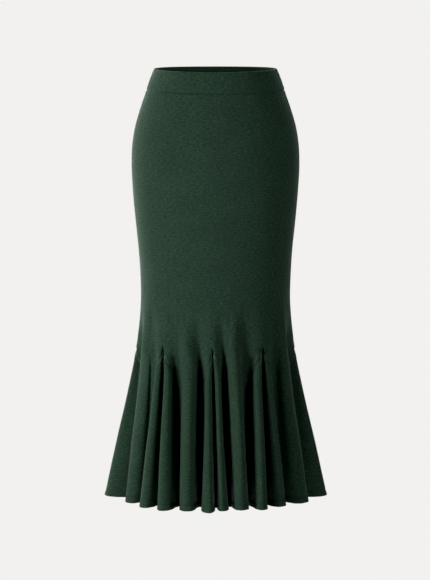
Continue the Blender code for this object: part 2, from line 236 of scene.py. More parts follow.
@dataclass(frozen=True)
class SkirtForm:
    """The surface midway through the cloth, which every piece lies on.

    A level is an ellipse whose sizes come from SECTIONS, pushed out and in by FOLDS. A place on it is
    given by its station: ridges and valleys are the whole numbers, numbered round the hem.

    Args:
        waist_top: Height of the waistband's upper edge, in metres as all heights here.
        band_seam: Height of the seam between waistband and panels.
        fold_start: Height at which the first soft ridges rise.
        apex: Height of the godets' tops.
        hem: Height of the hem's middle row.
        soft_ridge: Push of a ridge at the godets' tops, in metres.
        ridge_growth: Power of the share with which ridges rise to their reach.
        sink_start: Height at which the valleys start to sink.
        split_growth: Power of the share with which a godet's own valley opens.
        split_end: Share at which the godet's ridge has fully split in two.
        pinch: How far a godet's ridges lean towards its valley at its top, as a share.
        pinch_end: Share at which that lean has gone.
        seam_settle: Share at which a godet's seams reach the valleys beside it.
        seam_growth: Power with which they get there.
        seam_inset: Stations that the seams stay inside those valleys.
        apex_half: Half of a godet's width at its blunt top, in metres.
        spread_above: Metres above the godets' tops over which the panels' columns spread out again.
        spread: Stations by which they spread.
        steepness: How steep the walls of the folds stand, from 0 to 1.
    """

    waist_top: float = 21 * MM
    band_seam: float = -21 * MM
    fold_start: float = -440 * MM
    apex: float = -540 * MM
    hem: float = -872.5 * MM
    soft_ridge: float = 3.0 * MM
    ridge_growth: float = 1.05
    sink_start: float = -473 * MM
    split_growth: float = 0.5
    split_end: float = 0.04
    pinch: float = 0.6
    pinch_end: float = 0.22
    seam_settle: float = 0.28
    seam_growth: float = 0.5
    seam_inset: float = 0.12
    apex_half: float = 0.8 * MM
    spread_above: float = 60 * MM
    spread: float = 0.8
    steepness: float = 0.85

    def sizes(self, z: np.ndarray) -> list[np.ndarray]:
        """Half-width, front depth and back depth at the heights z, by cubic Hermite spans.

        Args:
            z: Heights in metres.

        Returns:
            Three arrays of metres, each as long as z.
        """
        rows = SECTIONS[::-1]
        heights = np.array([row.height for row in rows]) * MM
        z = np.clip(z, heights[0], heights[-1])
        low = np.clip(np.searchsorted(heights, z, side="right") - 1, 0, len(heights) - 2)
        span = heights[low + 1] - heights[low]
        u = (z - heights[low]) / span
        found = []
        for values in ([r.half_width for r in rows], [r.front for r in rows], [r.back for r in rows]):
            value = np.array(values, dtype=float) * MM
            slope = np.gradient(value, heights)
            found.append(
                (2 * u**3 - 3 * u**2 + 1) * value[low]
                + (u**3 - 2 * u**2 + u) * span * slope[low]
                + (3 * u**2 - 2 * u**3) * value[low + 1]
                + (u**3 - u**2) * span * slope[low + 1]
            )
        return found

    def keys(self, z: float, share: float) -> tuple[np.ndarray, np.ndarray, np.ndarray]:
        """Angle, offset and edge lift of every ridge and valley at one level, by station.

        A godet's first valley is its own middle one, which opens where its ridge splits in two.

        Args:
            z: Height of the row in metres.
            share: Share of the way from the godets' tops to the hem.

        Returns:
            Radians, metres and metres, two entries for each fold.
        """
        swell = smooth((self.fold_start - z) / (self.fold_start - self.apex))
        split = float(smooth(share / self.split_end))
        pinch = self.pinch * (1 - float(smooth(share / self.pinch_end)))
        angle, offset, lift = [], [], []
        for index, fold in enumerate(FOLDS):
            ridge = fold.top_deg + (fold.hem_deg - fold.top_deg) * share
            valley = fold.valley_top + (fold.valley_hem - fold.valley_top) * share
            godet, place = divmod(index, GODET_FOLDS)
            if place == 0:
                middle = valley
            if place < GODET_RIDGES and godet not in SIDE_GODETS:
                ridge += pinch * (middle - ridge)
            angle += [ridge, valley]
            reach = fold.reach * MM - self.soft_ridge
            offset.append(self.soft_ridge * swell + reach * share**self.ridge_growth)
            lift.append(fold.lift * MM)
            sunk = 1 - math.exp(-((max(0.0, self.sink_start - z) / (fold.sink * MM)) ** 2))
            deep = -fold.depth * MM * sunk
            if place == 0:
                opened = fold.depth * MM * share**self.split_growth * split
                deep = self.soft_ridge * swell * (1 - split) - opened
            offset.append(deep)
            lift.append(fold.valley_lift * MM)
        return np.radians(angle), np.array(offset), np.array(lift)

    def middle(self, station: np.ndarray, z_row: float, share: float) -> np.ndarray:
        """Points of one row.

        Args:
            station: Places round the tube.
            z_row: Height of the row in metres, before the edge's lift.
            share: 0 above the godets' tops, 1 at the hem.

        Returns:
            An array of points, one for each station.
        """
        angle, offset, lift = self.keys(z_row, share)
        count = len(angle)
        floor = np.floor(station).astype(int)
        u = station - floor
        here, after = floor % count, (floor + 1) % count
        start = angle[here] + 2 * math.pi * (floor // count)
        end = angle[after] + 2 * math.pi * ((floor + 1) // count)
        wall = np.array([(w.steep_by, w.shift_top, w.shift_hem) for w in WALLS])[here % STRIDE]
        firm = smooth(share / wall[:, 0])
        steep = firm * self.steepness * np.sin(2 * math.pi * u) / (2 * math.pi)
        shift = firm * (wall[:, 1] + (wall[:, 2] - wall[:, 1]) * share) * np.sin(math.pi * u) ** 2
        shift *= np.where(here % 2 == 0, 1, -1)
        phi = start + (end - start) * (u + steep + shift)
        blend = (1 - np.cos(math.pi * u)) / 2
        push = offset[here] + (offset[after] - offset[here]) * blend
        z = z_row + share * (lift[here] + (lift[after] - lift[here]) * blend)
        width, front, back = self.sizes(z)
        depth = np.where(np.cos(phi) > 0, front, back)
        normal = np.stack([depth * np.sin(phi), -width * np.cos(phi)])
        normal /= np.hypot(normal[0], normal[1])
        x = width * np.sin(phi) + push * normal[0]
        y = -depth * np.cos(phi) + push * normal[1]
        return np.stack([x, y, z], axis=-1)

    def outward(self, station: np.ndarray, z_row: float, share: float) -> tuple[np.ndarray, np.ndarray]:
        """Directions out of the cloth, and how fast its stations run.

        Args:
            station: Places round the tube.
            z_row: Height of the row in metres, before the edge's lift.
            share: 0 above the godets' tops, 1 at the hem.

        Returns:
            Level unit normals, and metres of cloth for each unit of station.
        """
        after = self.middle(station + STATION_STEP, z_row, share)
        run = after - self.middle(station - STATION_STEP, z_row, share)
        length = np.hypot(run[:, 0], run[:, 1])
        normal = np.stack([run[:, 1], -run[:, 0], np.zeros(len(run))], axis=-1) / length[:, None]
        return normal, length / (2 * STATION_STEP)

    def along(self, station: float, distance: float, z_row: float, share: float) -> float:
        """The station that lies a distance along the cloth from another one."""
        _, speed = self.outward(np.array([station]), z_row, share)
        return station + distance / float(speed[0])

    def seam(self, godet: int, side: Side, z_row: float, share: float, clearance: float) -> float:
        """Station of a godet's seam at one row.

        Args:
            godet: Number of the godet.
            side: Which of its two seams.
            z_row: Height of the row in metres.
            share: Share of the way from the godets' tops to the hem.
            clearance: Metres from the seam line, outwards from the godet.

        Returns:
            The station.
        """
        middle = godet * STRIDE + MIDDLE
        valley = godet * STRIDE + (FIRST_VALLEY if side is Side.LEFT else LAST_VALLEY)
        apart = float(smooth(share / self.seam_settle)) ** self.seam_growth
        line = middle + (valley - side.value * self.seam_inset - middle) * apart
        above = float(smooth((z_row - self.apex) / self.spread_above))
        line += side.value * self.spread * above
        return self.along(line, side.value * (self.apex_half * (1 - above) + clearance), z_row, share)

    def flare_row(self, share: float) -> tuple[float, float]:
        """Height and share of a row below the godets' tops."""
        return self.apex + share * (self.hem - self.apex), share


FORM = SkirtForm()


# ---- creases and puckers -------------------------------------------------------------------------
@dataclass(frozen=True)
class Crease:
    """One soft crease; a negative depth is a trough and a positive one a ridge.

    Args:
        degrees: Place round the tube from centre front, at the crease's middle.
        height: Height of the crease's middle, in mm.
        length: Length in mm.
        width: Half-width in mm.
        depth: Push in mm.
        lean: Degrees that it moves round the tube for each LEAN_HEIGHT further up.
    """

    degrees: float
    height: float
    length: float
    width: float
    depth: float
    lean: float = 0.0


# degrees, height, length, width, depth, lean
CREASES = (
    # front: soft verticals that run up from the folds, deepest over the valleys
    Crease(24.2, -508, 138, 8.5, -2.5, -1.0),
    Crease(14.8, -514, 118, 7.5, 1.5, 0.5),
    Crease(4.4, -518, 98, 6.5, -1.6, 1.0),
    Crease(-13.6, -518, 116, 8.5, -2.4, 0.8),
    Crease(-22.8, -518, 104, 7.0, 1.5),
    Crease(-33.2, -516, 118, 7.5, -2.0, -1.0),
    Crease(-48.0, -516, 94, 6.0, 2.3, 1.0),
    Crease(-58.0, -506, 124, 8.5, -1.8, 1.5),
    Crease(32.6, -512, 90, 6.5, 1.1, 1.0),
    Crease(50.0, -500, 124, 9.0, -1.4, -1.5),
    Crease(64.0, -486, 150, 8.5, 0.9, -1.0),
    Crease(-3.0, -478, 150, 9.0, 0.6, 1.5),
    # front: short hollows where the valleys open between the godets' tops
    Crease(-52.5, -556, 72, 6.5, -1.4),
    Crease(-31.2, -558, 80, 6.5, -2.2, -0.5),
    Crease(-12.0, -556, 84, 7.0, -2.6, 0.4),
    Crease(5.0, -560, 70, 5.0, -1.4, 0.6),
    Crease(23.0, -554, 78, 7.5, -2.0, -0.4),
    Crease(51.0, -558, 74, 7.0, -1.6),
    # front: long pulls that tilt the tongues' crests, and bow the side godets
    Crease(-21.6, -700, 380, 7.0, -3.6, -1.4),
    Crease(-19.0, -690, 360, 7.0, 2.8, -1.3),
    Crease(13.1, -690, 370, 7.0, -3.8, -0.9),
    Crease(15.4, -700, 380, 7.0, 3.0, -0.8),
    Crease(-81.5, -730, 290, 12.0, 2.4),
    Crease(81.0, -720, 300, 12.0, -3.0),
    # front: broad, very soft pulls over the stomach, hip and thigh
    Crease(34.0, -74, 64, 11.0, -0.6, -16.0),
    Crease(44.0, -112, 90, 13.0, -0.7, -12.0),
    Crease(-38.0, -88, 72, 12.0, -0.5, 15.0),
    Crease(-14.0, -196, 130, 15.0, -0.35, 7.0),
    Crease(17.0, -262, 150, 16.0, -0.4, -5.0),
    Crease(-27.0, -330, 170, 14.0, 0.4, 4.0),
    Crease(40.0, -366, 180, 15.0, 0.45, -4.0),
    # sides
    Crease(-90.0, -512, 110, 16.0, -1.6),
    Crease(90.0, -512, 110, 16.0, -1.8),
    Crease(-92.0, -470, 120, 9.0, -0.9),
    Crease(-104.0, -496, 96, 8.0, -0.8, 1.5),
    Crease(91.0, -476, 110, 8.5, -0.8, -0.5),
    Crease(103.0, -500, 92, 8.0, -1.0, -1.0),
    Crease(-84.0, -60, 52, 9.0, -0.5, 9.0),
    Crease(86.0, -64, 58, 10.0, -0.6, -8.0),
    # back: the same kinds, and two hollows under the seat
    Crease(125.0, -500, 112, 9.0, -1.5, 1.0),
    Crease(140.0, -510, 82, 7.5, -0.9),
    Crease(151.5, -498, 118, 8.5, -1.3, -1.0),
    Crease(160.0, -488, 132, 9.0, 0.9),
    Crease(169.5, -506, 98, 8.5, -1.6, 0.8),
    Crease(192.5, -502, 108, 8.0, -1.4, -0.8),
    Crease(201.0, -492, 126, 9.0, 0.8, 1.0),
    Crease(209.0, -512, 84, 7.5, -1.2),
    Crease(234.0, -498, 116, 9.0, -1.5, -1.2),
    Crease(245.0, -508, 92, 8.0, 0.9),
    Crease(150.0, -262, 120, 15.0, -0.7, 14.0),
    Crease(212.0, -270, 132, 16.0, -0.8, -13.0),
    Crease(181.0, -96, 96, 13.0, -0.5, 2.0),
    Crease(164.0, -60, 50, 10.0, -0.5, 10.0),
    Crease(198.0, -66, 60, 10.0, -0.5, -9.0),
)

LEAN_HEIGHT = 100.0  # mm further up for which a crease's lean is given
CREASE_MARGIN = 3  # stations past a piece's edge from which a crease can still reach it
FAR = 1.0  # metres; a crease so far off leaves no trace


@dataclass(frozen=True)
class Unevenness:
    """A faint wave of cloth that is never quite smooth: two ripples that cross each other.

    Args:
        height: Push in metres.
        across: Metres from side to side for one radian of the first ripple.
        down: Metres up for one radian of the second ripple.
        slant: Metres up for one radian of the first one, which slants it.
        skew: Metres from front to back for one radian of the second one.
        first_start: Where the first one starts, in radians.
        second_start: Where the second one starts, in radians.
    """

    height: float
    across: float
    down: float
    slant: float = math.inf
    skew: float = math.inf
    first_start: float = 0.0
    second_start: float = 0.0

    def push(self, points: np.ndarray, z_row: float) -> np.ndarray:
        """The wave at one row.

        Args:
            points: Points of the row.
            z_row: Its height in metres.

        Returns:
            Metres outwards for each point.
        """
        first = np.sin(points[:, 0] / self.across + z_row / self.slant + self.first_start)
        second = np.sin(z_row / self.down + points[:, 1] / self.skew + self.second_start)
        return self.height * first * second


BROAD = Unevenness(0.35 * MM, across=46 * MM, down=61 * MM, skew=50 * MM, first_start=1.3)
FINE = Unevenness(0.18 * MM, across=19 * MM, down=27 * MM, slant=43 * MM, second_start=0.6)
UNEVEN_START = 30 * MM  # distance below the waistband over which both set in


@dataclass(frozen=True)
class Needlework:
    """What sewing does to the cloth, in metres except for shares.

    Args:
        groove: Depth of the line where two pieces meet.
        groove_width: Half-width of that line.
        allowance: How far the pressed seam allowance lifts the cloth beside the line.
        allowance_centre: Distance from the line to that lift.
        allowance_width: Half-width of the lift.
        pucker: Height of the puckers along a seam.
        pucker_fade: Distance from the seam over which they fade.
        pucker_spacing: Mean length of one pucker.
        gather_blend: Distance over which the puckers of two near seams blend.
        side_share: Share of a seam's relief that is left at the sides, where it is pressed flatter.
        waist_groove_width: Half-width of the line under the waistband.
        waist_spacing: Mean length of one pucker under the waistband.
        waist_fade: Distance below the band over which those puckers fade.
        waist_even: How even that distance is; the lower, the more it varies.
        waist_uneven_spacing: Mean length of its variation along the band.
        hem_turn: Height of the turned-up edge.
        hem_step: How far the turned-up cloth lifts the outer one.
        hem_step_start: Where that step begins above the hem, in heights of the turned-up edge. It
            is fully up one such height lower.
        hem_line: Depth of the stitched line.
        hem_line_width: Half-width of the stitched line.
        hem_wave: Height of the hem's soft waves.
        hem_wave_fade: Distance above the hem over which they fade.
        hem_wave_spacing: Mean length of one wave.
    """

    groove: float = 0.75 * MM
    groove_width: float = 1.3 * MM
    allowance: float = 0.45 * MM
    allowance_centre: float = 5.0 * MM
    allowance_width: float = 2.6 * MM
    pucker: float = 0.35 * MM
    pucker_fade: float = 11.0 * MM
    pucker_spacing: float = 13.0 * MM
    gather_blend: float = 3.3 * MM
    side_share: float = 0.35
    waist_groove_width: float = 1.56 * MM
    waist_spacing: float = 10.5 * MM
    waist_fade: float = 12.0 * MM
    waist_even: float = 1.4
    waist_uneven_spacing: float = 71.0 * MM
    hem_turn: float = 11.0 * MM
    hem_step: float = 0.55 * MM
    hem_step_start: float = 1.2
    hem_line: float = 0.825 * MM
    hem_line_width: float = 1.5 * MM
    hem_wave: float = 0.75 * MM
    hem_wave_fade: float = 16.0 * MM
    hem_wave_spacing: float = 17.0 * MM


SEWING = Needlework()
NEARNESS_FLOOR = 1e-9  # nearness to a seam below which its puckers have gone

# Seeds of the ripples. Each kind starts at its own number, and counts on by seam, godet or panel.
BAND_SEAM_SEEDS = (1, 2)
WAIST_REACH_SEED = 5
WAIST_PUCKER_SEED = 9
SEAM_SEED = 10
SHIRRING_SEED = 71
PANEL_HEM_SEED = 100
GODET_HEM_SEED = 120
RIPPLE_WAVES = ((1.0, 0.55), (0.618, 0.35), (1.73, 0.25))  # rate and strength of each wave in a ripple


def ripple(distance: np.ndarray | float, spacing: float, seed: int) -> np.ndarray:
    """An uneven wave between about -1 and 1, the sum of three that don't repeat together.

    Args:
        distance: Metres along the path.
        spacing: Mean length of one wave in metres.
        seed: Number that sets the waves' starts.

    Returns:
        The wave's height.
    """
    phases = np.random.default_rng(seed).uniform(0, 2 * math.pi, len(RIPPLE_WAVES))
    total = 0.0
    for (rate, strength), phase in zip(RIPPLE_WAVES, phases):
        total = total + strength * np.sin(2 * math.pi * rate * np.asarray(distance) / spacing + phase)
    return total


def bell(x: np.ndarray | float, width: float) -> np.ndarray:
    """A bell curve, 1 at 0."""
    return np.exp(-((x / width) ** 2))


# ---- finishes ------------------------------------------------------------------------------------
WAVE_PERIOD = 0.314  # the scale at which Blender's wave texture repeats once for each unit
NOISE_LOW, NOISE_HIGH = 0.3, 0.7  # nearly all of a noise's values lie between these


def linear(hex_colour: str) -> tuple[float, float, float, float]:
    """A colour for a shader socket from its sRGB hex value, such as "#26382d"."""
    parts = [int(hex_colour[i : i + 2], 16) / 255 for i in (1, 3, 5)]
    return (*(c / 12.92 if c <= 0.04045 else ((c + 0.055) / 1.055) ** 2.4 for c in parts), 1.0)


def add_node(
    tree: bpy.types.NodeTree,
    kind: str,
    settings: Optional[dict] = None,
    inputs: Optional[dict] = None,
) -> bpy.types.Node:
    """Add a node.

    Args:
        tree: Tree that it goes into.
        kind: The node's type, such as "ShaderNodeTexNoise".
        settings: Values of its properties by name.
        inputs: For sockets by name or number, a value or the output socket to link.

    Returns:
        The node.
    """
    node = tree.nodes.new(kind)
    for name, value in (settings or {}).items():
        setattr(node, name, value)
    for name, value in (inputs or {}).items():
        if isinstance(value, bpy.types.NodeSocket):
            tree.links.new(value, node.inputs[name])
        else:
            node.inputs[name].default_value = value
    return node


@dataclass(frozen=True)
class Grain:
    """Grains of one noise in the yarn.

    Args:
        length: Their length along the courses in metres.
        height: Their height in metres.
        detail: Octaves of finer noise in them.
        rough: Strength of each octave against the one before.
    """

    length: float
    height: float
    detail: float
    rough: float


@dataclass(frozen=True)
class MelangeDoubleKnit:
    """Brushed viscose and polyamide double knit in a melange yarn.

    The eye gets a matt, deep green ground with short paler flecks that lie along the courses, and a
    pale bloom at grazing angles from the brushed fibre ends. A real fleck is a stitch high, under 1 mm,
    which no pixel would show, so flecks, courses and wales are drawn two to three times as large.

    Args:
        name: Name of the material.
        ground: Colour of most of the yarn.
        fleck: Colour of its palest fibres.
        shade: Colour of its darkest fibres.
        roughness: Mean roughness.
        roughness_spread: How far the flecks move the roughness from that.
        gloss: Specular level of the fibres.
        sheen: Strength of the brushed nap's bloom.
        sheen_roughness: How far that bloom spreads from the grazing angles.
        bloom: Colour of the bloom.
        flecks: Grains of the melange.
        specks: Finer grains between them.
        speck_share: Strength of the specks against the flecks.
        clouds: Large soft grains that shift the tone.
        cloud_tone: How much the clouds lighten and darken the yarn.
        melange_low: Sum of flecks and specks at which the yarn is darkest.
        melange_high: Sum at which it is palest.
        ground_place: Place of the ground's colour between those two.
        course: Height of one course in metres.
        wale: Width of one wale in metres.
        waver: How far courses and wales wander, and in how fine steps.
        nap: Height of the flecks against the stitches.
        relief: Height of the knit's face in metres.
        relief_strength: How strongly that height tilts the shading.
    """

    name: str
    ground: str = "#2c4435"
    fleck: str = "#3b5444"
    shade: str = "#24382b"
    roughness: float = 0.9
    roughness_spread: float = 0.07
    gloss: float = 0.15
    sheen: float = 0.38
    sheen_roughness: float = 0.32
    bloom: str = "#c9dccf"
    flecks: Grain = Grain(7.0 * MM, 2.5 * MM, 3.0, 0.62)
    specks: Grain = Grain(2.1 * MM, 1.75 * MM, 2.0, 0.5)
    speck_share: float = 0.55
    clouds: Grain = Grain(60 * MM, 45 * MM, 2.0, 0.5)
    cloud_tone: float = 0.07
    melange_low: float = 0.56
    melange_high: float = 1.02
    ground_place: float = 0.45
    course: float = 2.4 * MM
    wale: float = 1.8 * MM
    waver: tuple[float, float] = (1.2, 2.0)
    nap: float = 0.8
    relief: float = 0.35 * MM
    relief_strength: float = 0.8

    def build(self) -> bpy.types.Material:
        """Make the material.

        Returns:
            The material, which reads the cut's UV map in metres.
        """
        material = bpy.data.materials.new(self.name)
        material.use_nodes = True
        tree = material.node_tree
        tree.nodes.clear()
        cut = add_node(tree, "ShaderNodeUVMap", {"uv_map": "cut"}).outputs["UV"]
        flecks = self._noise(tree, cut, self.flecks)
        specks = self._noise(tree, cut, self.specks)
        clouds = self._noise(tree, cut, self.clouds)
        mixed = add_node(
            tree,
            "ShaderNodeMath",
            {"operation": "MULTIPLY_ADD"},
            {0: specks, 1: self.speck_share, 2: flecks},
        )
        spread = add_node(
            tree,
            "ShaderNodeMapRange",
            {"interpolation_type": "SMOOTHSTEP"},
            {"Value": mixed.outputs[0], "From Min": self.melange_low, "From Max": self.melange_high},
        )
        ramp = add_node(tree, "ShaderNodeValToRGB", inputs={"Fac": spread.outputs[0]})
        low, high = ramp.color_ramp.elements
        low.color, high.color = linear(self.shade), linear(self.fleck)
        ramp.color_ramp.elements.new(self.ground_place).color = linear(self.ground)
        tone = add_node(
            tree,
            "ShaderNodeMapRange",
            inputs={
                "Value": clouds,
                "From Min": NOISE_LOW,
                "From Max": NOISE_HIGH,
                "To Min": 1 - self.cloud_tone,
                "To Max": 1 + self.cloud_tone,
            },
        )
        colour = add_node(
            tree,
            "ShaderNodeMix",
            {"data_type": "RGBA", "blend_type": "MULTIPLY"},
            {"Factor": 1.0, "A": ramp.outputs["Color"], "B": tone.outputs[0]},
        )
        bump = add_node(
            tree,
            "ShaderNodeBump",
            inputs={
                "Strength": self.relief_strength,
                "Distance": self.relief,
                "Height": self._stitches(tree, cut, flecks),
            },
        )
        rough = add_node(
            tree,
            "ShaderNodeMapRange",
            inputs={
                "Value": flecks,
                "To Min": self.roughness - self.roughness_spread,
                "To Max": self.roughness + self.roughness_spread,
            },
        )
        shader = add_node(
            tree,
            "ShaderNodeBsdfPrincipled",
            inputs={
                "Base Color": colour.outputs["Result"],
                "Roughness": rough.outputs[0],
                "Specular IOR Level": self.gloss,
                "Sheen Weight": self.sheen,
                "Sheen Roughness": self.sheen_roughness,
                "Sheen Tint": linear(self.bloom),
                "Normal": bump.outputs[0],
            },
        )
        add_node(tree, "ShaderNodeOutputMaterial", inputs={"Surface": shader.outputs[0]})
        return material

    def _noise(
        self, tree: bpy.types.NodeTree, cut: bpy.types.NodeSocket, grain: Grain
    ) -> bpy.types.NodeSocket:
        """A noise on the cut.

        Args:
            tree: The material's tree.
            cut: Places on the cut in metres.
            grain: Size and kind of its grains.

        Returns:
            The noise's value.
        """
        scale = (1 / grain.length, 1 / grain.height, 1)
        place = add_node(tree, "ShaderNodeMapping", inputs={"Vector": cut, "Scale": scale})
        noise = add_node(
            tree,
            "ShaderNodeTexNoise",
            inputs={
                "Vector": place.outputs[0],
                "Scale": 1.0,
                "Detail": grain.detail,
                "Roughness": grain.rough,
            },
        )
        return noise.outputs[0]

    def _stitches(
        self, tree: bpy.types.NodeTree, cut: bpy.types.NodeSocket, flecks: bpy.types.NodeSocket
    ) -> bpy.types.NodeSocket:
        """Height of the knit's face: wales that stand up, crossed by courses, blurred by the nap.

        Args:
            tree: The material's tree.
            cut: Places on the cut in metres.
            flecks: The melange's noise, which the nap follows.

        Returns:
            The height, as a plain number.
        """
        distortion, detail_scale = self.waver
        bands = []
        for direction, size in (("X", self.wale), ("Y", self.course)):
            scale = add_node(
                tree, "ShaderNodeVectorMath", {"operation": "SCALE"}, {0: cut, "Scale": 1 / size}
            )
            wave = add_node(
                tree,
                "ShaderNodeTexWave",
                {"wave_type": "BANDS", "bands_direction": direction},
                {
                    "Vector": scale.outputs[0],
                    "Scale": WAVE_PERIOD,
                    "Distortion": distortion,
                    "Detail": 1.0,
                    "Detail Scale": detail_scale,
                },
            )
            bands.append(wave.outputs["Fac"])
        knit = add_node(tree, "ShaderNodeMath", {"operation": "MULTIPLY"}, {0: bands[0], 1: bands[1]})
        nap = add_node(
            tree,
            "ShaderNodeMath",
            {"operation": "MULTIPLY_ADD"},
            {0: flecks, 1: self.nap, 2: knit.outputs[0]},
        )
        return nap.outputs[0]


@dataclass(frozen=True)
class SpunThread:
    """Spun polyester sewing thread.

    The eye gets short dashes, a little glossier than the knit and a shade darker, with the twist's shade
    and highlight painted into their colour.

    Args:
        name: Name of the material.
        colour: Mean colour.
        roughness: Roughness of the twisted fibres.
        sheen: Strength of the fibre ends' bloom.
        twist: Length of the twist's painted shade and highlight marks in metres.
        dark: Tone of the painted shade in the twist's grooves.
        light: Tone of the painted highlight on its strands.
    """

    name: str = "spun_polyester_thread"
    colour: str = "#1b3325"
    roughness: float = 0.6
    sheen: float = 0.15
    twist: float = 0.5 * MM
    dark: float = 0.75
    light: float = 1.2

    def build(self) -> bpy.types.Material:
        """Make the material.

        Returns:
            The material, whose twist reads Object coordinates.
        """
        material = bpy.data.materials.new(self.name)
        material.use_nodes = True
        tree = material.node_tree
        tree.nodes.clear()
        place = add_node(tree, "ShaderNodeTexCoord").outputs["Object"]
        # painted shade and highlight: a noise darkens the thread's colour as shade in the twist's grooves
        # and lightens it as light on its strands
        twist_shade_noise = add_node(
            tree, "ShaderNodeTexNoise", inputs={"Vector": place, "Scale": 1 / self.twist}
        )
        tone = add_node(
            tree,
            "ShaderNodeMapRange",
            inputs={
                "Value": twist_shade_noise.outputs[0],
                "From Min": NOISE_LOW,
                "From Max": NOISE_HIGH,
                "To Min": self.dark,
                "To Max": self.light,
            },
        )
        colour = add_node(
            tree,
            "ShaderNodeMix",
            {"data_type": "RGBA", "blend_type": "MULTIPLY"},
            {"Factor": 1.0, "A": linear(self.colour), "B": tone.outputs[0]},
        )
        shader = add_node(
            tree,
            "ShaderNodeBsdfPrincipled",
            inputs={
                "Base Color": colour.outputs["Result"],
                "Roughness": self.roughness,
                "Sheen Weight": self.sheen,
            },
        )
        add_node(tree, "ShaderNodeOutputMaterial", inputs={"Surface": shader.outputs[0]})
        return material


@dataclass(frozen=True)
class StudioPaper:
    """Seamless white backdrop paper, evenly lit, so that the eye gets one flat tone.

    Args:
        name: Name of the material.
        colour: The tone that shows.
    """

    name: str = "backdrop_paper"
    colour: str = "#f2f1ef"

    def build(self) -> bpy.types.Material:
        """Make the material.

        Returns:
            The material, which glows with its own tone.
        """
        material = bpy.data.materials.new(self.name)
        material.use_nodes = True
        tree = material.node_tree
        tree.nodes.clear()
        glow = add_node(tree, "ShaderNodeEmission", inputs={"Color": linear(self.colour), "Strength": 1.0})
        add_node(tree, "ShaderNodeOutputMaterial", inputs={"Surface": glow.outputs[0]})
        return material


# ---- cloth ---------------------------------------------------------------------------------------
CORNERS = 4  # of each face
EDGE_ROUND = 0.4  # how far a piece's lower edge is rounded, in thicknesses of its cloth
MAP_GAP = 20 * MM  # distance between the outer and the inner skin on the UV map


@dataclass
class Grid:
    """Rows and columns of one piece.

    Args:
        rows: Height of each row in metres, and its share of the flare.
        stations: The columns' stations, row by row.
        cloth: Which cells between rows and columns are cloth.
    """

    rows: list[tuple[float, float]]
    stations: np.ndarray
    cloth: np.ndarray


